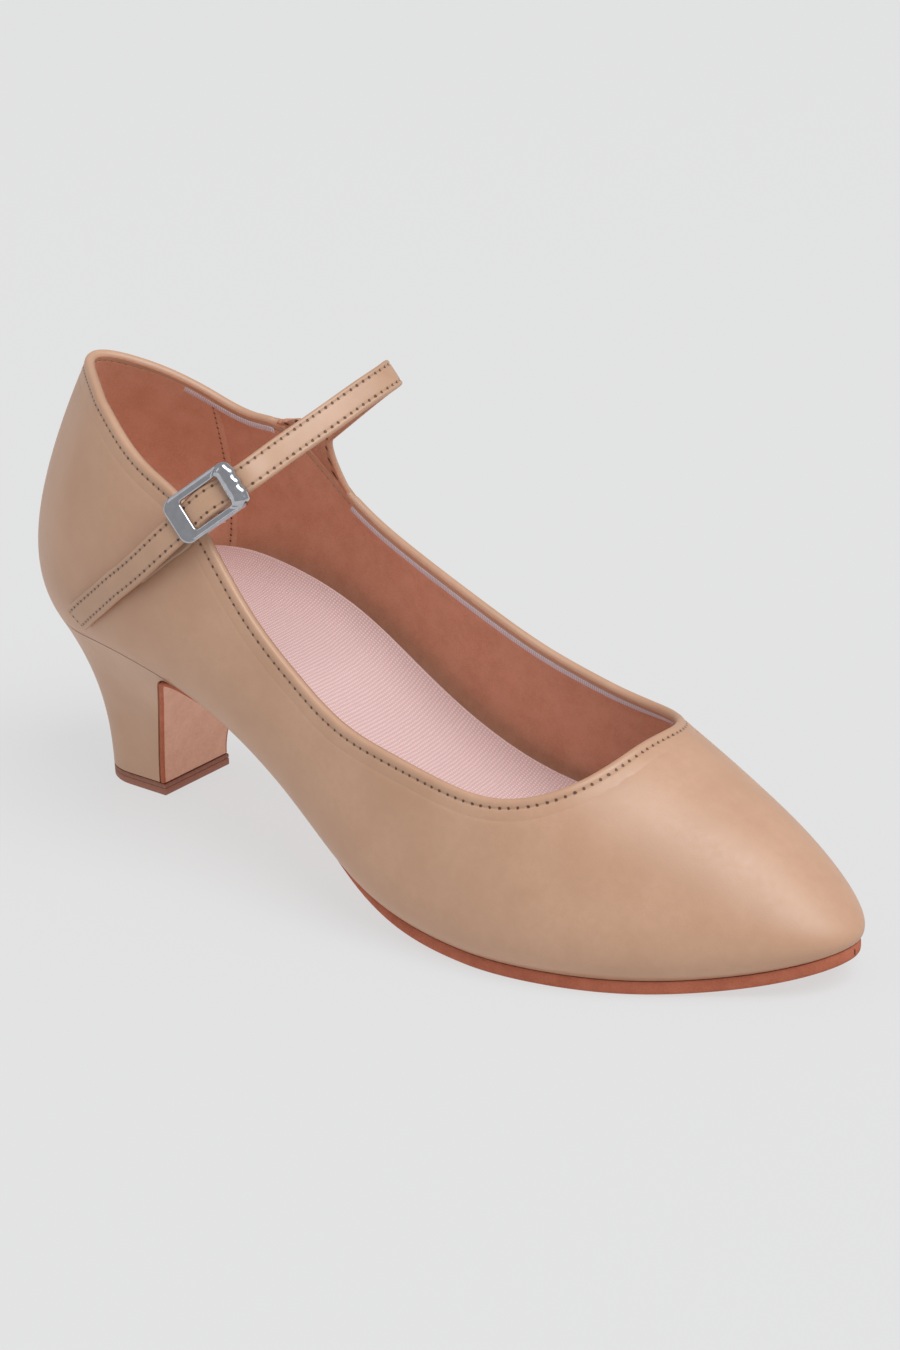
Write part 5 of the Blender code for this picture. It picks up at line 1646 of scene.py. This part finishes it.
tab_middle, tab_heading, tab_side = band(tab_line, tab_aside, np.linspace(0.0, tab_length, 70))
tab_out = np.cross(tab_side, tab_heading)
print("anchor tab:", round(float(tab_length), 1), "mm long")

# %% [markdown]
# ## The anchor tab
# The tab's section is a strip with softened edges, in shares of its width and thickness. It sits in the
# strap's shade, and its leather is a darker copy of the tan: painted shade for the strap's shadow.
# %% Anchor tab
TAB_WIDTH = 5.6
TAB_PROFILE = (
    (-0.5, 0.0), (-0.49, 0.28), (-0.455, 0.44), (-0.40, 0.50), (-0.2, 0.50), (0.0, 0.50), (0.2, 0.50),
    (0.40, 0.50), (0.455, 0.44), (0.49, 0.28), (0.5, 0.0), (0.49, -0.28), (0.455, -0.44), (0.40, -0.50),
    (0.2, -0.50), (0.0, -0.50), (-0.2, -0.50), (-0.40, -0.50), (-0.455, -0.44), (-0.49, -0.28),
)
tab_shape = np.array(TAB_PROFILE)
tab_points = (tab_middle[:, None] + TAB_WIDTH * tab_shape[None, :, :1] * tab_side[:, None]
              + TAB_THICKNESS * tab_shape[None, :, 1:] * tab_out[:, None])
# Painted shade: the tab's two tans are darker than the upper's to stand for the strap's shadow over it.
tab_leather = leather_finish("tab_leather", (0.400, 0.240, 0.155), (0.470, 0.290, 0.190), 0.55)
tab = make_piece("tab_leather", tab_points, tube_faces(*tab_points.shape[:2]), [tab_leather])
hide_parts("anchor_tab")

# %% [markdown]
# ## Floor
# The shoe stands on a seamless pale ground. A floor that glows by itself stays even out to the horizon,
# and its own colour is dark, so that the lights draw only a faint shadow on it.
# %% Floor
FLOOR_HALF = 60.0
FLOOR_GLOW = 0.618
floor_material, _, floor_shader = new_finish("studio_floor", 0.85)
floor_shader.inputs["Base Color"].default_value = (0.14, 0.14, 0.14, 1.0)
floor_shader.inputs["Specular IOR Level"].default_value = 0.0
floor_shader.inputs["Emission Color"].default_value = (FLOOR_GLOW, FLOOR_GLOW, FLOOR_GLOW, 1.0)
floor_shader.inputs["Emission Strength"].default_value = 1.0
floor_mesh = bpy.data.meshes.new("studio_floor")
floor_corners = FLOOR_HALF * np.array([(-1, -1, 0), (1, -1, 0), (1, 1, 0), (-1, 1, 0)])
floor_mesh.from_pydata(floor_corners.tolist(), [], [(0, 1, 2, 3)])
floor_mesh.materials.append(floor_material)
floor = bpy.data.objects.new("studio_floor", floor_mesh)
bpy.context.scene.collection.objects.link(floor)
print("floor:", 2.0 * FLOOR_HALF, "m wide")

# %% [markdown]
# ## Directions of the view
# Lights and camera are placed from the camera's own directions: backward to the camera, to its right, and
# up its picture. The angles are the ones at which the shoe's outline fits the photograph.
# %% Directions of the view
azimuth = math.radians(40.18)
elevation = math.radians(22.36)
roll = math.radians(-2.60)
backward = np.array([math.sin(azimuth) * math.cos(elevation), -math.cos(azimuth) * math.cos(elevation),
                     math.sin(elevation)])
rightward = np.array([math.cos(azimuth), math.sin(azimuth), 0.0])
upward = np.cross(backward, rightward)
print("towards the camera:", np.round(backward, 3))

# %% [markdown]
# ## Lights
# A large soft light high on the camera's right models the leather, a fill on its left opens the shadows,
# and a wide sun above, like a white ceiling, lights the inside of the shoe. The sky is even and dim.
# %% Lights and sky


def soft_light(name, place, size, power):
    """A square soft light that looks at the middle of the shoe."""
    data = bpy.data.lights.new(name, "AREA")
    data.size = size
    data.energy = power
    light = bpy.data.objects.new(name, data)
    bpy.context.scene.collection.objects.link(light)
    light.location = place
    light.rotation_mode = "QUATERNION"
    light.rotation_quaternion = (Vector((0.0, 0.0, 0.05)) - Vector(place)).to_track_quat("-Z", "Y")


soft_light("key_light", tuple(0.95 * rightward + 0.35 * backward + np.array([0.0, 0.0, 1.05])), 0.8, 3.2)
soft_light("fill_light", tuple(-1.5 * rightward + 0.5 * backward + np.array([0.0, 0.0, 0.7])), 1.0, 1.8)
ceiling = bpy.data.lights.new("ceiling_light", "SUN")
ceiling.energy = 2.0
ceiling.color = (0.94, 0.97, 1.0)
ceiling.angle = math.radians(45.0)
ceiling_light = bpy.data.objects.new("ceiling_light", ceiling)
bpy.context.scene.collection.objects.link(ceiling_light)
ceiling_light.rotation_mode = "QUATERNION"
ceiling_way = 0.35 * rightward + 0.45 * backward + np.array([0.0, 0.0, 0.9])
ceiling_light.rotation_quaternion = Vector(tuple(ceiling_way)).to_track_quat("Z", "Y")
world = bpy.data.worlds.new("studio_sky")
world.use_nodes = True
world.node_tree.nodes["Background"].inputs["Color"].default_value = (0.97, 0.98, 1.0, 1.0)
world.node_tree.nodes["Background"].inputs["Strength"].default_value = 0.42
bpy.context.scene.world = world
bpy.context.scene.view_settings.view_transform = "Standard"
print("lights:", sorted(light.name for light in bpy.data.lights))

# %% [markdown]
# ## Camera
# The camera stands where the photograph was taken from: its distance, focal length and small turn were
# matched to the photograph's outline, and the target is a place on the last.
# %% Camera at the photo's angle
TARGET = (110.0, 0.0, 46.5)
DISTANCE = 712.5
SHIFT_RIGHT = 9.96
SHIFT_DOWN = 1.85
IMAGE_HEIGHT = 1350
FOCAL_PIXELS = 3100.5
camera_data = bpy.data.cameras.new("photo_camera")
camera_data.sensor_width = 36.0
camera_data.lens = FOCAL_PIXELS * camera_data.sensor_width / IMAGE_HEIGHT
camera_data.clip_start = 0.01
camera_data.clip_end = 40.0
camera = bpy.data.objects.new("photo_camera", camera_data)
bpy.context.scene.collection.objects.link(camera)
target = np.array(TARGET) - SHIFT
eye = METRE * (target + SHIFT_RIGHT * rightward - SHIFT_DOWN * upward + DISTANCE * backward)
right_turned = rightward * math.cos(roll) + upward * math.sin(roll)
up_turned = upward * math.cos(roll) - rightward * math.sin(roll)
camera.matrix_world = Matrix((
    (right_turned[0], up_turned[0], backward[0], eye[0]),
    (right_turned[1], up_turned[1], backward[1], eye[1]),
    (right_turned[2], up_turned[2], backward[2], eye[2]),
    (0.0, 0.0, 0.0, 1.0)))
bpy.context.scene.camera = camera
print("camera at", np.round(eye, 4))
